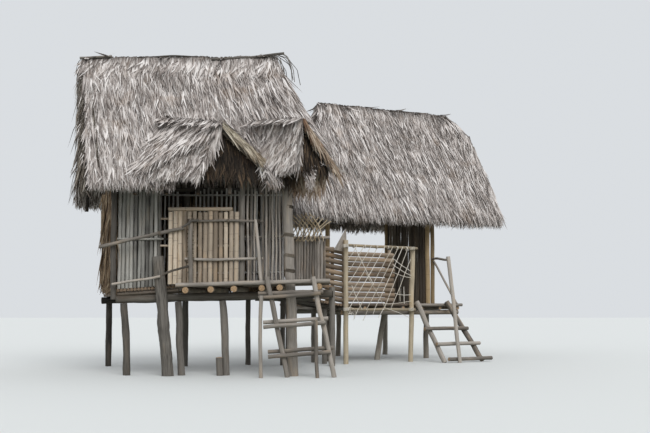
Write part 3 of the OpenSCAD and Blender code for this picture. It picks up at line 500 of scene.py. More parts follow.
# For each node of round poles: its look and what differs from poleShape
polePieces = {
    "corner_post": ("palePole", dict(sides=20, step=0.08, bend=0.02, knots=0.1, lumps=0.006)),
    "bark_post": ("barkPost", dict(sides=24, step=0.05, bend=0.02, knots=0.16, lumps=0.02)),
    "beam_posts": ("greyPole", dict(sides=16, bend=0.02, knots=0.2)),
    "back_posts": ("greyPole", dict(sides=14)),
    "main_beams": ("shadedBeamPole", dict(sides=14, knots=0.2)),
    "deck_joists": ("deckPole", dict(sides=16, knots=0.06)),
    "deck_edge_pole": ("palePole", dict(bend=0.008)),
    "deck_floor": ("floorStick", dict(step=0.25, sides=10, bend=0.004, knots=0.1)),
    "side_floor": ("floorStick", dict(step=0.25, sides=10, bend=0.004, knots=0.1)),
    "pole_wall": ("wallPole", dict(bend=0.012)),
    "left_end_wall": ("darkStick", dict(step=0.2, sides=8)),
    "back_wall": ("backStick", dict(step=0.18, sides=8, bend=0.014)),
    "cane_screen": ("dryCane", dict(bend=0.004, knots=0.05, lumps=0.001, sides=14, pairs=True)),
    "stick_screen": ("palePole", dict(bend=0.02, knots=0.18, sides=10)),
    "wall_posts": ("greyPole", dict()),
    "deck_railing": ("palePole", dict(bend=0.02, knots=0.16)),
    "roof_poles": ("greyPole", dict(step=0.25)),
    "rafters": ("shadedRafterPole", dict(step=0.25, sides=10)),
    "canopy_poles": ("darkStick", dict(sides=8)),
    "ladder_frame": ("palePole", dict(bend=0.02, knots=0.16)),
    "ladder_treads": ("palePole", dict(bend=0.012, knots=0.14, sides=14)),
    "walkway_floor": ("floorStick", dict(sides=10, bend=0.003)),
    "walkway_bearers": ("greyPole", dict()),
    "palisade": ("palePole", dict(thicker=1.4, bend=0.014, sides=10)),
    "hut_posts": ("postBamboo", dict(bend=0.01, knots=0.05, sides=14)),
    "end_wall": ("darkStick", dict(step=0.2, sides=8)),
    "back_stilts": ("litStiltPole", dict(sides=14, bend=0.02)),
    "back_floor_frame": ("palePole", dict(step=0.2)),
    "back_floor": ("floorStick", dict(step=0.3, sides=8, bend=0.003)),
    "back_roof_poles": ("greyPole", dict(step=0.3)),
    "back_rafters": ("greyPole", dict(step=0.3, sides=8)),
    "side_ladder": ("palePole", dict(bend=0.02, knots=0.16, sides=14)),
    "side_ladder_treads": ("palePole", dict(bend=0.012, knots=0.12, sides=14)),
    "handrail": ("palePole", dict(bend=0.016)),
}
for seed, (nodeName, (look, change)) in enumerate(polePieces.items(), 11):
    roundPoles(nodeName, look, seed, **change)


# Dry leaves: each blade has its own tone, lighter along its rib, darker at its root as painted shade from the blades
# above, with brown and dark patches over the roof
def thatchFinish(name, stops, patches, brown, brownColour, ribColour, root, rootShadeColour):
    material, tree, shader = newMaterial(name)
    place = make(tree, "ShaderNodeTexCoord", None, "Object")
    across = attribute(tree, "across")
    patch = place.noise(1.7, 4.0, 0.6)
    fine = place.noise(38.0, 3.0)
    shade = attribute(tree, "tone") + (patch - 0.5) * patches
    shade = shade.maths("ADD", (fine - 0.5) * 0.25, clamp=True)
    warmth = (place + (7.0, 3.0, 1.0)).noise(2.3, 3.0).remap(0.55, 0.75)
    base = (warmth * brown).mix(ramp(shade, stops), colour(brownColour))
    base = across.remap(0.0, 0.35, 0.22, 0.0).mix(base, colour(ribColour))
    # Painted shade: each blade is darker towards its root, where it lies under the blades above
    base = attribute(tree, "along").remap(0.0, 0.45, root, 0.0).mix(base, colour(rootShadeColour))
    ridges = (across * 22.0).maths("SINE") * 0.5
    bump = make(tree, "ShaderNodeBump", {"Strength": 0.5, "Distance": 0.003, "Height": ridges}, "Normal")
    feed(shader, {"Base Color": base, "Roughness": 0.78, "Specular IOR Level": 0.3, "Normal": bump})
    return material


# Each kind of leaf: its shades from dark to light, how far patches change them, how brown it gets and which brown,
# the colour of its rib, how much of its root is darkened as painted shade and how dark
thatchLooks = {
    "greyLeaf": ([(0.0, "#564e49"), (0.26, "#928882"), (0.52, "#bfb6b0"), (1.0, "#f3eeea")],
                 0.5, 0.35, "#a08468", "#e6e0da", 0.75, "#463d37"),
    "edgeLeaf": ([(0.0, "#675d4f"), (0.3, "#978a78"), (0.6, "#b9ac9a"), (1.0, "#ddd4c2")],
                 0.4, 0.35, "#9c7450", "#dcd3b8", 0.3, "#4d4231"),
    # Painted shade: near-black leaves for the dark hollows inside the canopies
    "hollowShadeLeaf": ([(0.0, "#181411"), (0.35, "#2c251f"), (0.7, "#41362c"), (1.0, "#6d5a47")],
                 0.4, 0.4, "#5d4330", "#4f4437", 0.6, "#100d0b"),
    "shadeLeaf": ([(0.0, "#3d362f"), (0.3, "#6d6257"), (0.6, "#948a7e"), (1.0, "#cfc7bb")],
                 0.4, 0.4, "#8a6a4c", "#c4b9a8", 0.5, "#2c2620"),
    "rustLeaf": ([(0.0, "#574a3e"), (0.3, "#8a735f"), (0.6, "#ac9683"), (1.0, "#d6c8b6")],
                 0.5, 0.5, "#a06b45", "#cdb79c", 0.5, "#3d2e24"),
    "tanLeaf": ([(0.0, "#3b2f25"), (0.35, "#705b46"), (0.7, "#947d63"), (1.0, "#bba88c")],
                 0.5, 0.4, "#7a5238", "#b8a78c", 0.6, "#2f261e"),
    # Painted shade: the near-black layer under the hollow leaves
    "hollowShadeLayer": ([(0.0, "#0f0d0b"), (0.5, "#1e1915"), (1.0, "#2f2720")],
                 0.4, 0.3, "#3a2b20", "#2a231c", 0.0, "#0f0d0b"),
    # Painted shade: the layer under the leaves is coloured dark, for the shade in the gaps between blades
    "shadedUnderLayer": ([(0.0, "#332b25"), (0.35, "#4d433a"), (0.7, "#675b4f"), (1.0, "#7d7063")],
                 0.5, 0.3, "#5c4636", "#6b6055", 0.0, "#332b25"),
}
thatchMaterials = {name: thatchFinish(name, *look) for name, look in thatchLooks.items()}


# How far each leaflet bows to a side and curls up
bladeShapes = [(0.08, 0.1), (-0.1, 0.06), (0.2, 0.14), (-0.22, 0.1), (0.02, 0.2), (0.4, 0.08)]


# A collection of dry leaflets, each one unit long along +Y and one unit wide, with its root at the origin
def makeBlades(name, sections=3):
    blades = bpy.data.collections.new(name)
    for number, (bow, curl) in enumerate(bladeShapes):
        corners, faces, across, along = [], [], [], []
        for i in range(sections):
            t = i / (sections - 1)
            half = 0.5 * (0.55 + 0.45 * math.sin(math.pi * min(1.0, 0.2 + t))) * (1 - 0.9 * t ** 2.5)
            lift = curl * (t - 1.35 * t * t)
            corners += [(bow * t * t * 6 - half, t, lift), (bow * t * t * 6 + half, t, lift)]
            across += [-1.0, 1.0]
            along += [t, t]
            if i:
                faces.append((2 * i - 2, 2 * i - 1, 2 * i + 1, 2 * i))
        mesh = bpy.data.meshes.new(name)
        mesh.from_pydata(corners, [], faces)
        for title, values in (("across", across), ("along", along)):
            mesh.attributes.new(title, "FLOAT", "POINT").data.foreach_set("value", values)
        blades.objects.link(bpy.data.objects.new(name + str(number), mesh))
    return blades


blades = makeBlades("dryBlade")


thatchShape = dict(density=1300.0, underDensity=0.15, edgeDensity=1.0, length=0.6, width=0.044, turn=0.3, swirl=0.35,
                   lift=0.16, roll=0.7, puff=0.05, ragged=0.2, left=0.0, right=1.0, sweepLeft=0.0, sweepRight=0.0,
                   bulge=(0.0, 0.0, 0.0), bulgeFrom=0.0, bulgeTo=1.0, leftLimitFoot=-100.0, leftLimitCrest=-100.0)


# Scatters blades over a slab so that each lies down its slope, and hangs where the face is upright
def makeThatchTree():
    tree, given, result = startTree(
        "laidThatch", "GeometryNodeTree", {"Thatch": "Geometry"}, slab="Geometry", blades="Collection", leaf="Material",
        under="Material", seed=1, lowest=0.0, foot=3.2, crest=6.2, **thatchShape)
    tree.is_modifier = True

    def chance(low, high, offset):
        return make(tree, "FunctionNodeRandomValue", {"Min": low, "Max": high, "Seed": given["seed"] + offset}, 1,
                    data_type="FLOAT")

    place = make(tree, "GeometryNodeInputPosition")
    normal = make(tree, "GeometryNodeInputNormal")
    across, height = place.part(0), place.part(2)
    # The slab puffs out in soft waves, and bulges between its foot and its crest
    climb = height.remap(given["foot"], given["crest"])
    reach = across.remap(given["bulgeFrom"], given["bulgeTo"], interpolation_type="SMOOTHSTEP")
    belly = (climb ** 1.5 * math.pi).maths("SINE") * reach
    push = normal * ((place.noise(1.6, 3.0) - 0.62) * (given["puff"] * 2.0)) + given["bulge"] * belly
    fine = make(tree, "GeometryNodeSubdivideMesh", {"Mesh": given["slab"], "Level": 5})
    puffed = make(tree, "GeometryNodeSetPosition", {"Geometry": fine, "Offset": push})
    upward = normal.part(2)
    share = upward.remap(-0.4, -0.1, given["underDensity"], 1.0)
    share = share * abs(upward).remap(0.08, 0.16, given["edgeDensity"], 1.0)
    scatter = put(tree, "GeometryNodeDistributePointsOnFaces", {
        "Mesh": puffed, "Seed": given["seed"], "Density": given["density"] * share}, distribute_method="RANDOM").outputs
    outward = Wire(scatter["Normal"])
    downhill = outward * outward.part(2) + (0.0, 0.0, -1.0)
    downhill = make(tree, "ShaderNodeVectorMath", {0: downhill}, operation="NORMALIZE")
    lie = make(tree, "FunctionNodeAxesToRotation", {"Primary Axis": outward, "Secondary Axis": downhill},
               primary_axis="Z", secondary_axis="Y")
    spread = chance(-1.0, 1.0, 1) * (chance(0.2, 1.0, 9) * given["turn"])
    sweep = across.remap(given["left"], given["right"], given["sweepLeft"], given["sweepRight"])
    spin = sweep + spread + (place.noise(0.9, 1.0) - 0.5) * given["swirl"]

    def turned(rotation, axis, angle):
        step = make(tree, "FunctionNodeAxisAngleToRotation", {"Axis": axis, "Angle": angle})
        return make(tree, "FunctionNodeRotateRotation", {"Rotation": rotation, "Rotate By": step},
                    rotation_space="LOCAL")

    lie = turned(lie, (0, 0, 1), spin)
    lie = turned(lie, (1, 0, 0), chance(-0.25, 1.0, 2) * given["lift"])
    lie = turned(lie, (0, 1, 0), chance(-1.0, 1.0, 3) * given["roll"])
    # A blade near the eave is shorter, so that the fringe ends where the roof does
    steep = abs(downhill.part(2)).maths("MAXIMUM", 0.3)
    over = given["ragged"] * (place.noise(5.0, 2.0) * 1.3 + chance(-0.6, 0.4, 4))
    room = ((height - given["lowest"] + over) / steep).maths("MAXIMUM", 0.05)
    length = (given["length"] * chance(0.55, 1.35, 5)).maths("MINIMUM", room)
    size = combine(tree, given["width"] * chance(0.5, 1.5, 6), length, length)
    # Blades whose tips would stick out past the open end of the roof are left out
    tip = place + make(tree, "FunctionNodeRotateVector", {"Vector": (0, 1, 0), "Rotation": lie}) * length
    limit = height.remap(given["foot"], given["crest"], given["leftLimitFoot"], given["leftLimitCrest"])
    inside = make(tree, "FunctionNodeCompare", {0: tip.part(0), 1: limit + chance(-0.1, 0.12, 10)},
                  data_type="FLOAT", operation="GREATER_THAN")
    pool = make(tree, "GeometryNodeCollectionInfo", {"Collection": given["blades"], "Separate Children": True,
                                                     "Reset Children": True})
    which = make(tree, "FunctionNodeRandomValue", {4: 0, 5: len(bladeShapes) - 1, "Seed": given["seed"] + 7}, 2,
                 data_type="INT")
    leaves = make(tree, "GeometryNodeInstanceOnPoints", {
        "Points": Wire(scatter["Points"]), "Selection": inside, "Instance": pool, "Pick Instance": True,
        "Instance Index": which, "Rotation": lie, "Scale": size}).store("tone", chance(0.0, 1.0, 8), domain="INSTANCE")
    both = put(tree, "GeometryNodeJoinGeometry")
    feed(both, {0: make(tree, "GeometryNodeRealizeInstances", {0: leaves}).coat(given["leaf"])})
    feed(both, {0: puffed.coat(given["under"])})
    feed(result, {"Thatch": Wire(both.outputs[0])})
    return tree


thatchTree = makeThatchTree()


# A copy of a CAD slab that keeps its top and only a share of its thickness
def thinSlab(nodeName, share):
    shape = openShape(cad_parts[nodeName].data, 1e-4)
    for corner in shape.verts:
        top = max(v.co.z for v in shape.verts if (v.co.xy - corner.co.xy).length < 1e-3)
        if corner.co.z < top - 1e-3:
            corner.co.z = top - (top - corner.co.z) * share
    return closeShape(shape, bpy.data.meshes.new(nodeName))


def layThatch(mesh, name, nodes, seed, leaf="greyLeaf", layer="shadedUnderLayer", **change):
    heights = [v.co.z for v in mesh.vertices]
    values = dict(dict(thatchShape, lowest=min(heights)), **change)
    values.update(blades=blades, foot=min(heights), crest=max(heights), seed=seed, leaf=thatchMaterials[leaf],
                  under=thatchMaterials[layer])
    return settle(newPiece(name, runTree(mesh, thatchTree, values)), nodes)


def thatchSlab(nodeName, seed, thin=0.45, **change):
    return layThatch(thinSlab(nodeName, thin), nodeName + "Leaves", [nodeName], seed, **change)


# Seen from above, the outlines of the two canopies and of the space between, where the front roof is open and dark
canopyOutlines = [
    [(-2.45, 0.27), (-2.5, -0.42), (-1.62, -0.95), (-1.26, -0.75), (-0.62, -0.42)],
    [(-0.733, 0.208), (-0.5, -0.42), (0.108, -0.95), (0.191, -0.75), (0.66, -0.42)],
    [(-1.55, 0.1), (-1.55, -1.2), (1.0, -1.2), (1.0, -0.1), (-0.35, -0.16), (-0.66, -0.16), (-0.8, 0.1)],
]


def underCanopy(x, y):
    for outline in canopyOutlines:
        sides = zip(outline, outline[1:] + outline[:1])
        if all((b[0] - a[0]) * (y - a[1]) - (b[1] - a[1]) * (x - a[0]) > 0 for a, b in sides):
            return True
    return False


# Takes away the faces of a piece that the test finds, which is given each face and its middle
def leaveOut(piece, outside):
    shape = openShape(piece.data)
    gone = [face for face in shape.faces if outside(face, face.calc_center_median())]
    bmesh.ops.delete(shape, geom=gone, context="FACES")
    closeShape(shape, piece.data)
    print("left out of", piece.name, len(gone), "faces")
    return piece


# Drops the layer under the leaves and keeps the leaves alone
def keepLeaves(piece):
    under = piece.data.materials.find("shadedUnderLayer")
    return leaveOut(piece, lambda face, middle: face.material_index == under)


# A mesh of the given faces, or of one face round all the corners
def sheet(corners, faces=None):
    mesh = bpy.data.meshes.new("sheet")
    mesh.from_pydata(corners, [], faces or [tuple(range(len(corners)))])
    return mesh


capShape = dict(density=2300.0, length=0.55, width=0.044, turn=0.3, swirl=0.45, lift=0.03, puff=0.04, ragged=0.3,
                lowest=0.0)


# Bundles of leaves laid over a ridge: two narrow slopes from start to end that fall by drop on both sides
def ridgeCap(name, nodes, start, end, drop, seed, **change):
    start, end, side = Vector(start), Vector(end), Vector(drop[:2] + (0,))
    fall = Vector((0, 0, drop[2]))
    corners = [start, end, end + side - fall, start + side - fall, end - side - fall, start - side - fall]
    slopes = sheet(corners, [(0, 3, 2, 1), (0, 1, 4, 5)])
    return keepLeaves(layThatch(slopes, name, nodes, seed, **dict(capShape, **change)))


edgeShape = dict(density=2600.0, length=0.34, width=0.036, turn=0.2, swirl=0.2, lift=0.08, puff=0.0, ragged=0.3,
                 lowest=3.4)


# Leaflets along one open edge of a roof, from its peak down to its foot, that sweep to one side
def canopyEdge(name, node, start, end, sweep, seed, **change):
    low, high = Vector((0, -0.025, -0.12)), Vector((0, -0.025, 0.02))
    start, end = Vector(start), Vector(end)
    if end.x < start.x:
        start, end = end, start
    values = dict(dict(edgeShape, sweepLeft=sweep, sweepRight=sweep), **change)
    strip = sheet([start + low, end + low, end + high, start + high])
    return keepLeaves(layThatch(strip, name, [node], seed, **values))


# The front roof is open under the two canopies, and its right end is cut short where the second roof begins
leaveOut(thatchSlab("front_thatch", 1, density=1900.0, length=0.68, width=0.035, lowest=3.5, sweepLeft=0.2,
                    sweepRight=0.42, left=-3.9, right=0.0, turn=0.2, swirl=0.2, thin=0.3, leftLimitFoot=-3.68,
                    leftLimitCrest=-4.4),
         lambda face, p: (p.y < 0.22 and underCanopy(p.x, p.y)) or (p.x > 0.36 and p.z < 3.95))
leaveOut(thatchSlab("rear_thatch", 2, density=850.0, lowest=3.5),
         lambda face, p: p.y > 1.5 and p.z < min(3.3 + 1.75 * (p.x + 0.6), 4.1 + 0.35 * (p.x + 0.2)))
leaveOut(thatchSlab("hip_thatch", 3, density=1300.0, lowest=3.66, thin=0.15, ragged=0.12),
         lambda face, p: p.z < 3.95 + 0.2 * max(0.0, p.y - 0.5))
for nodeName, seed in (("door_canopy", 4), ("corner_canopy", 5)):
    thatchSlab(nodeName, seed, density=2100.0, length=0.4, lift=0.1, edgeDensity=0.0, swirl=0.2, turn=0.2, puff=0.01,
               underDensity=0.4)
thatchSlab("back_front_thatch", 6, density=1900.0, width=0.036, turn=0.24, lowest=3.3, bulge=(0.22, 0.1, 0.02),
           bulgeFrom=3.0, bulgeTo=4.4, swirl=0.2)
layThatch(sheet([(-0.6, 3.18, 3.12), (-0.09, 3.46, 3.12), (0.24, 4.65, 4.95), (-0.27, 4.37, 4.95)]), "backRoofLap",
          ["back_front_thatch"], 9, density=1500.0, lowest=3.2, swirl=0.25)

# The back roof's right end is rounder than its solids: how far down the verge each point is, and the bulge's outer line
shoulderLine = [(0.0, (3.76, 7.27, 6.14)), (0.05, (3.96, 7.2, 5.97)), (0.165, (4.3, 7.05, 5.6)),
                (0.38, (4.52, 6.85, 4.96)), (0.59, (4.74, 6.58, 4.32)), (0.8, (4.88, 6.28, 3.7))]


def roofShoulder():
    top, foot, side = Vector((3.719, 7.283, 6.12)), Vector((4.896, 6.192, 3.1)), Vector((0.4848, -0.8746, 0))
    front = []
    for share, outer in shoulderLine:
        front += [top.lerp(foot, share) + Vector((-0.4, -0.28, 0.02)), Vector(outer)]
    rear = [corner - 2 * (corner - top).dot(side) * side for corner in front]
    steps = range(0, len(front) - 2, 2)
    layThatch(sheet(front, [(i + 2, i + 3, i + 1, i) for i in steps]), "frontShoulder", ["back_front_thatch"], 54,
              density=1500.0, length=0.5, lowest=3.3, swirl=0.3, lift=0.1)
    layThatch(sheet(rear, [(i, i + 1, i + 3, i + 2) for i in steps]), "rearShoulder", ["back_rear_thatch"], 56,
              density=1000.0, length=0.42, lowest=3.3, swirl=0.3, lift=0.07)


roofShoulder()
layThatch(sheet([(-0.04, -0.13, 3.52), (0.52, -0.13, 3.52), (0.62, -0.13, 3.8), (-0.04, -0.13, 3.8)]), "cornerFringe",
          ["front_thatch"], 55, leaf="rustLeaf", density=1300.0, length=0.32, width=0.035, swirl=0.4, lift=0.08,
          puff=0.0, ragged=0.4, lowest=3.3)
thatchSlab("back_rear_thatch", 7, density=900.0, length=0.42, lowest=3.3, lift=0.07, bulge=(0.02, 0.02, 0.02),
           bulgeFrom=3.0, bulgeTo=4.4)
thatchSlab("back_hip_thatch", 8, density=1000.0, lowest=3.3)
ridgeCap("ridgeLeaves", ["front_thatch", "rear_thatch"], (-4.28, 1.35, 6.29), (-0.38, 1.35, 6.29), (0.0, -0.16, 0.22),
         21, puff=0.09, lift=0.06, length=0.48)
ridgeCap("backRidgeLeaves", ["back_front_thatch", "back_rear_thatch"], (0.40, 5.44, 6.19), (3.74, 7.29, 6.19),
         (0.078, -0.14, 0.3), 22, puff=0.1, lift=0.07, length=0.48)
# Near-black leaves inside the two openings are painted shade for the dark hollows, and hide the cut roof behind them
for name, node, corners, seed in [
        ("doorHollow", "door_canopy",
         [(-1.62, -0.79, 3.7), (-0.62, -0.28, 3.7), (-0.62, -0.28, 3.86), (-1.31, -0.63, 4.44)], 51),
        ("cornerShade", "corner_canopy",
         [(0.02, -0.8, 3.86), (0.62, -0.3, 3.86), (0.6, -0.32, 3.92), (0.14, -0.64, 4.5)], 53),
        ("cornerHollow", "corner_canopy",
         [(-0.45, -0.2, 3.62), (0.02, -0.2, 3.62), (0.12, -0.2, 4.2), (-0.3, -0.2, 3.95)], 52)]:
    layThatch(sheet(corners), name, [node], seed, leaf="hollowShadeLeaf", layer="hollowShadeLayer", density=700.0, length=0.32,
              width=0.04, turn=0.3, swirl=0.4, lift=0.1, puff=0.0, ragged=0.4, lowest=3.5)
canopyEdge("doorCanopyRight", "door_canopy", (-1.26, -0.75, 4.56), (-0.48, -0.38, 3.9), 0.72, 25, leaf="edgeLeaf",
           swirl=0.8, ragged=0.6, density=1500.0, length=0.4, width=0.03, lift=0.14)
canopyEdge("doorCanopyLeft", "door_canopy", (-1.26, -0.75, 4.55), (-1.62, -0.95, 3.72), -0.3, 26)
canopyEdge("innerVergeLeaves", "front_thatch", (-4.14, 1.24, 6.16), (-3.5, -0.5, 3.86), -0.05, 30, leaf="shadeLeaf",
           density=1300.0, length=0.55, swirl=0.5, lift=0.12, ragged=0.2)
canopyEdge("leftVergeLeaves", "front_thatch", (-4.3, 1.32, 6.2), (-3.74, -0.52, 3.6), -0.12, 29, leaf="shadeLeaf",
           density=2200.0, length=0.55, swirl=0.7, lift=0.25, ragged=0.2)
canopyEdge("cornerCanopyRight", "corner_canopy", (0.191, -0.75, 4.63), (0.74, -0.38, 3.85), 0.6, 27, leaf="rustLeaf",
           swirl=0.7, density=1800.0, length=0.38, width=0.03)
canopyEdge("cornerCanopyLeft", "corner_canopy", (0.191, -0.75, 4.63), (0.108, -0.95, 3.9), -0.1, 28)
for name, node, start, end, drop, seed in (
        ("doorCanopyRidge", "door_canopy", (-2.5, 0.3, 4.87), (-1.24, -0.76, 4.57), (0.09, 0.1, 0.07), 23),
        ("cornerCanopyRidge", "corner_canopy", (-0.75, 0.22, 4.78), (0.2, -0.76, 4.66), (0.09, 0.09, 0.07), 24)):
    ridgeCap(name, [node], start, end, drop, seed, density=2600.0, length=0.3, puff=0.0)


# Palm fronds hung on the outside of a wall of sticks. The corners run round the wall as seen from outside
for name, node, seed, density, corners in (
        ("leftWallFronds", "left_end_wall", 31, 520.0,
         [(-4.1, 2.62, 1.6), (-3.3, 0.12, 1.6), (-3.3, 0.12, 3.7), (-3.68, 1.35, 5.4), (-4.1, 2.62, 3.75)]),
        ("backWallFronds", "back_wall", 32, 380.0,
         [(-0.3, 2.71, 1.6), (-4.05, 2.71, 1.6), (-4.05, 2.71, 3.7), (-0.3, 2.71, 3.7)])):
    layThatch(sheet(corners), name, [node], seed, leaf="tanLeaf", density=density, length=0.75, width=0.05, turn=0.22,
              swirl=0.5, lift=0.07, puff=0.03, ragged=0.12)


# The sawn board of a node, taken from its solid, with worn edges and grain along its length
def boardPiece(nodeName, pieceName):
    for points, faces in readIslands(nodeName):
        sizes, ways = np.linalg.svd(points - points.mean(0), full_matrices=False)[1:]
        if sizes[1] < 3 * sizes[2]:
            continue
        shape = bmesh.new()
        corners = [shape.verts.new(p) for p in points]
        for face in faces:
            shape.faces.new([corners[i] for i in face])
        bmesh.ops.recalc_face_normals(shape, faces=shape.faces)
        bmesh.ops.dissolve_limit(shape, angle_limit=0.02, verts=shape.verts, edges=shape.edges)
        bmesh.ops.bevel(shape, geom=list(shape.edges), offset=0.003, segments=2, affect="EDGES", profile=0.6)
        mesh = closeShape(shape, bpy.data.meshes.new(pieceName))
        turn = Matrix([list(row) for row in ways]).transposed()
        grain = [(v.co - Vector(points[0])) @ turn for v in mesh.vertices]
        mesh.attributes.new("grain", "FLOAT_VECTOR", "POINT").data.foreach_set("vector", [c for g in grain for c in g])
        mesh.attributes.new("tone", "FLOAT", "POINT").data.foreach_set("value", [0.55] * len(mesh.vertices))
        mesh.materials.append(poleMaterials["palePole"])
        settle(newPiece(pieceName, mesh), [nodeName])


boardPiece("porch_frame", "porchBoard")
roundPoles("porch_frame", "porchPole", 77, bend=0.01, knots=0.08)


# The porch: its left end and its way to the right seen from above, and the heights of its two rails
porch = dict(start=(1.103, 3.278), way=(0.8746, 0.4848), topRail=2.56, lowRail=1.19)


# A point of the net: metres along it, height over the water and metres toward the viewer
def onPorch(along, height, forward=0.0):
    (x, y), (right, back) = porch["start"], porch["way"]
    return x + right * along + back * forward, y + back * along - right * forward, height


# Each string of the net as along and height at its upper end, then at its lower end
netStrings = [
    (0.19, 2.57, -0.02, 2.26), (0.56, 2.57, 0.0, 1.78), (0.92, 2.57, -0.03, 1.17), (1.13, 2.57, 0.21, 1.16),
    (1.28, 2.57, 0.42, 1.16), (1.39, 2.57, 0.63, 1.16), (1.53, 2.55, 0.87, 1.16), (1.6, 2.3, 1.06, 1.18),
    (0.38, 2.57, -0.01, 2.02), (0.74, 2.57, 0.0, 1.46), (0.42, 1.98, 0.94, 1.18), (0.06, 1.7, 0.32, 1.17),
    (0.16, 2.5, 0.62, 1.72), (1.12, 2.31, 1.6, 2.03), (1.12, 2.17, 1.6, 1.93), (1.12, 2.0, 1.6, 1.88),
    (1.17, 1.53, 1.6, 1.5), (1.3, 1.66, 1.31, 1.35), (1.41, 1.68, 1.42, 1.3), (0.86, 1.3, 1.6, 1.36)]
# Each loose tail under the net as along at its start and its end, and how far it hangs
netTails = [(0.03, -0.06, 0.2), (0.21, 0.1, 0.24), (0.47, 0.34, 0.26), (0.86, 0.74, 0.2), (0.95, 1.56, 0.2),
            (0.64, 0.6, 0.12)]
# Where the net is tied to the posts, as along and height
netKnots = [(-0.07, 2.56), (1.66, 2.54), (-0.06, 1.18), (1.62, 1.17)]
# What every cord has in common
cordShape = dict(sides=6, knots=0.1, lumps=0.0)


def porchNet():
    pickFrom = random.Random(5)
    twine, tail, sag, rail = 0.0075, 0.006, 0.02, porch["lowRail"]
    cords = []
    for upper, high, lower, foot in netStrings:
        start, end = Vector(onPorch(upper, high, 0.012)), Vector(onPorch(lower, foot, 0.012))
        cords.append(line(twine, *[start.lerp(end, t) + Vector((0, 0, -sag * math.sin(math.pi * t)))
                                   for t in (0, 0.25, 0.5, 0.75, 1)]))
    for start, end, drop in netTails:
        cords.append(line(tail, onPorch(start, rail, 0.02), onPorch((start + end) / 2, rail - drop * 0.45, 0.03),
                          onPorch(end, rail - drop, 0.01)))
    for along, height in netKnots:
        low, high = (onPorch(along, height + reach, -0.03) for reach in (-0.035, 0.035))
        cords.append(coil(low, high, 0.066, 4, 0.007))
    for _ in range(9):
        first = (pickFrom.uniform(-0.04, 0.1), pickFrom.uniform(1.05, 1.22))
        second = (first[0] + pickFrom.uniform(-0.08, 0.08), first[1] + pickFrom.uniform(-0.12, 0.04))
        cords.append(line(tail, onPorch(*first, 0.03), onPorch((first[0] + second[0]) / 2, first[1] + 0.02, 0.05),
                          onPorch(*second, 0.03)))
    for place in (0.12, 0.4, 0.7, 1.0, 1.25, 1.5):
        left, right = (onPorch(place + reach, porch["topRail"] - 0.015 * place, -0.005) for reach in (-0.015, 0.015))
        cords.append(coil(left, right, 0.04, 2, tail))
    polePiece("porchNet", cords, "porch_net", "netTwine", 61, step=0.03, bend=0.008, bendLength=0.5, **cordShape)


# The pole ends and loose strands that lie on the front hut's ridge
def ridgeSticks():
    pickFrom = random.Random(8)
    strand = 0.007
    sticks = [line(0.028, (-1.7, 1.3, 6.2), (-0.9, 1.31, 6.24), (-0.24, 1.3, 6.32)),
              line(0.02, (-1.1, 1.42, 6.26), (-0.44, 1.4, 6.27)), line(0.026, (-3.7, 1.3, 6.26), (-4.34, 1.28, 6.22)),
              line(0.024, (-3.8, 1.4, 6.2), (-4.42, 1.42, 6.13)),
              line(0.018, (-3.2, 1.34, 6.24), (-2.5, 1.33, 6.275), (-1.9, 1.34, 6.25))]
    for _ in range(16):
        x, fall, out = pickFrom.uniform(-0.62, -0.2), pickFrom.uniform(0.25, 0.7), pickFrom.uniform(0.1, 0.45)
        y = pickFrom.uniform(1.1, 1.4)
        sticks.append(line(strand, (x, y, 6.26), (x + out * 0.5, y - 0.05, 6.27 - fall * 0.15),
                           (x + out, y - 0.1, 6.22 - fall * 0.5), (x + out * 1.15, y - 0.12, 6.2 - fall)))
    for _ in range(18):
        t = pickFrom.random()
        x, y, z = -4.3 + 0.5 * t, 1.3 - 1.5 * t, 6.2 - 2.1 * t
        fall = pickFrom.uniform(0.3, 0.6)
        sticks.append(line(strand, (x + 0.1, y, z), (x - 0.05, y - 0.02, z + 0.01),
                           (x - 0.1, y - 0.05, z - fall * 0.5), (x - 0.06, y - 0.06, z - fall)))
    polePiece("ridgeSticks", sticks, "roof_poles", "greyPole", 63, sides=6, step=0.06, bend=0.01)


# Where twine or vine holds two poles: a point, the way it is wound along, its radius, turns and cord thickness
lashings = [((-1.88, -0.15, 2.83), (0, 0, 1), 0.06, 4, 0.008), ((-1.87, -0.15, 2.14), (0, 0, 1), 0.055, 3, 0.007),
            ((-0.66, -0.14, 2.82), (0, 0, 1), 0.05, 4, 0.008), ((-0.63, -0.14, 2.14), (0, 0, 1), 0.05, 3, 0.007),
            ((-1.2, -0.105, 2.83), (1, 0, 0), 0.03, 3, 0.006), ((-2.45, -0.13, 2.6), (1, 0, 0.2), 0.042, 3, 0.007)]


def vineLashings():
    vine, spacing = 0.0095, 1.1
    cords = [coil((-1.885, -0.15, 2.68), (-1.88, -0.15, 2.2), 0.052, 6, vine),
             coil((-1.88, -0.15, 2.08), (-1.875, -0.15, 1.8), 0.05, 3, vine)]
    for centre, way, radius, turns, thick in lashings:
        centre, way = Vector(centre), Vector(way).normalized() * turns * thick * spacing
        cords.append(coil(centre - way, centre + way, radius, turns, thick))
    polePiece("railLashings", cords, "deck_railing", "darkStick", 64, step=0.02, bend=0.0, **cordShape)


# Thin canes that lean and cross above the rail of the fence between the huts
def latticeCanes():
    cane, canes = 0.0085, []
    for i in range(7):
        x = -0.2 + 0.085 * i
        canes.append(line(cane, (x, 2.37, 2.6), (x + 0.2, 2.37, 2.88), (x + 0.4, 2.37, 3.2 - 0.03 * i)))
        canes.append(line(cane, (x + 0.24, 2.35, 2.6), (x + 0.16, 2.35, 2.92), (x - 0.06, 2.35, 3.12 + 0.012 * i)))
    polePiece("latticeCanes", canes, "palisade", "litCrossCane", 65, thicker=1.3, step=0.05, sides=6, bend=0.02,
              bendLength=0.6, knots=0.1)


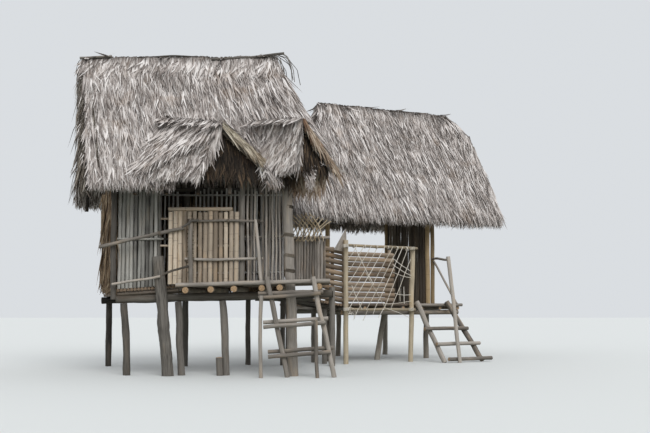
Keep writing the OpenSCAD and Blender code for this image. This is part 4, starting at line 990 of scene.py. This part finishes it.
# The short crooked branches that lengthen the rails at the left
def branchRails():
    branches = [line(0.02, (-2.37, -0.3, 1.83), (-2.22, -0.27, 1.905), (-2.11, -0.27, 1.935), (-1.9, -0.24, 2.0)),
                line(0.02, (-2.03, -0.27, 2.7), (-1.93, -0.26, 2.75), (-1.86, -0.24, 2.82), (-1.72, -0.23, 2.835))]
    polePiece("branchRails", branches, "deck_railing", "greyPole", 66, step=0.06, bend=0.012, knots=0.2)


# The canes beside the walkway reach the porch post, past the end of their solids
def walkwayCanes(lengthened=0.42):
    canes = []
    for points, radii in readPoles("cane_rails"):
        points = [Vector(point) for point in points]
        if 0.3 < points[-1].x - points[0].x < 0.6:
            points[-1] = points[-1] + lengthened * (points[-1] - points[0])
        canes.append((points, radii))
    polePiece("cane_railsPoles", canes, "cane_rails", "railCane", 38, thicker=1.3, bend=0.008, knots=0.05,
              lumps=0.001, sides=14)


# Rings of vine round the corner post
def cornerRings():
    points, radii = readPoles("corner_post")[0]
    vine, reach, cords = 0.009, max(radii) + 0.004, []
    for height in (3.1, 2.58, 2.2, 1.92):
        for low, high in zip(points, points[1:]):
            if min(low[2], high[2]) <= height <= max(low[2], high[2]):
                break
        centre = Vector(low).lerp(Vector(high), (height - low[2]) / (high[2] - low[2]))
        cords.append(coil(centre - Vector((0, 0, 0.03)), centre + Vector((0.01, 0, 0.03)), reach, 3, vine))
    polePiece("cornerRings", cords, "corner_post", "darkStick", 67, step=0.03, bend=0.0, **cordShape)


for makePiece in (walkwayCanes, porchNet, ridgeSticks, cornerRings, latticeCanes, branchRails, vineLashings):
    makePiece()


studio = dict(floorColour="#d9dcda", floorBounce="#81857c", skyColour="#f0f2f6", backdropColour="#e9edf1",
              floorReach=60.0, skyStrength=0.86, sunStrength=1.6, sunSize=0.6, sunTurn=(50, 0, 16))


# The first colour for what the camera sees straight or in a reflection, the second for light on the object
def byCamera(tree, seen, other):
    rays = put(tree, "ShaderNodeLightPath").outputs
    direct = Wire(rays["Is Camera Ray"]) + Wire(rays["Is Glossy Ray"])
    direct = direct.maths("ADD", Wire(rays["Is Transmission Ray"]), clamp=True)
    return direct.mix(colour(studio[other]), colour(studio[seen]))


def makeStudio():
    reach = studio["floorReach"]
    floor = newPiece("floor", sheet([(-reach, -reach, 0), (reach, -reach, 0), (reach, reach, 0), (-reach, reach, 0)]))
    finish, tree, shader = newMaterial("paleFloor")
    feed(shader, {"Base Color": byCamera(tree, "floorColour", "floorBounce"), "Roughness": 0.9})
    floor.data.materials.append(finish)
    world = bpy.data.worlds.new("softSky")
    bpy.context.scene.world = world
    world.use_nodes = True
    feed(world.node_tree.nodes["Background"], {"Color": byCamera(world.node_tree, "backdropColour", "skyColour"),
                                               "Strength": studio["skyStrength"]})
    sun = bpy.data.lights.new("sun", "SUN")
    sun.energy = studio["sunStrength"]
    sun.angle = studio["sunSize"]
    lamp = bpy.data.objects.new("sun", sun)
    lamp.rotation_euler = [math.radians(angle) for angle in studio["sunTurn"]]
    bpy.context.scene.collection.objects.link(lamp)


# The camera that took the photograph, with its tilt and lens in pixels of a picture of this width
cameraPlace = dict(at=(0.58, -18.25, 1.382), tilt=83.5, focal=990.0, width=650.0)


def makeCamera():
    lens = bpy.data.cameras.new("camera")
    lens.sensor_width = 36.0
    lens.lens = cameraPlace["focal"] * lens.sensor_width / cameraPlace["width"]
    camera = bpy.data.objects.new("camera", lens)
    camera.location = cameraPlace["at"]
    camera.rotation_euler = (math.pi / 2 + math.atan(cameraPlace["tilt"] / cameraPlace["focal"]), 0, 0)
    bpy.context.scene.collection.objects.link(camera)
    bpy.context.scene.camera = camera
    bpy.context.scene.view_settings.view_transform = "Standard"


makeStudio()
makeCamera()
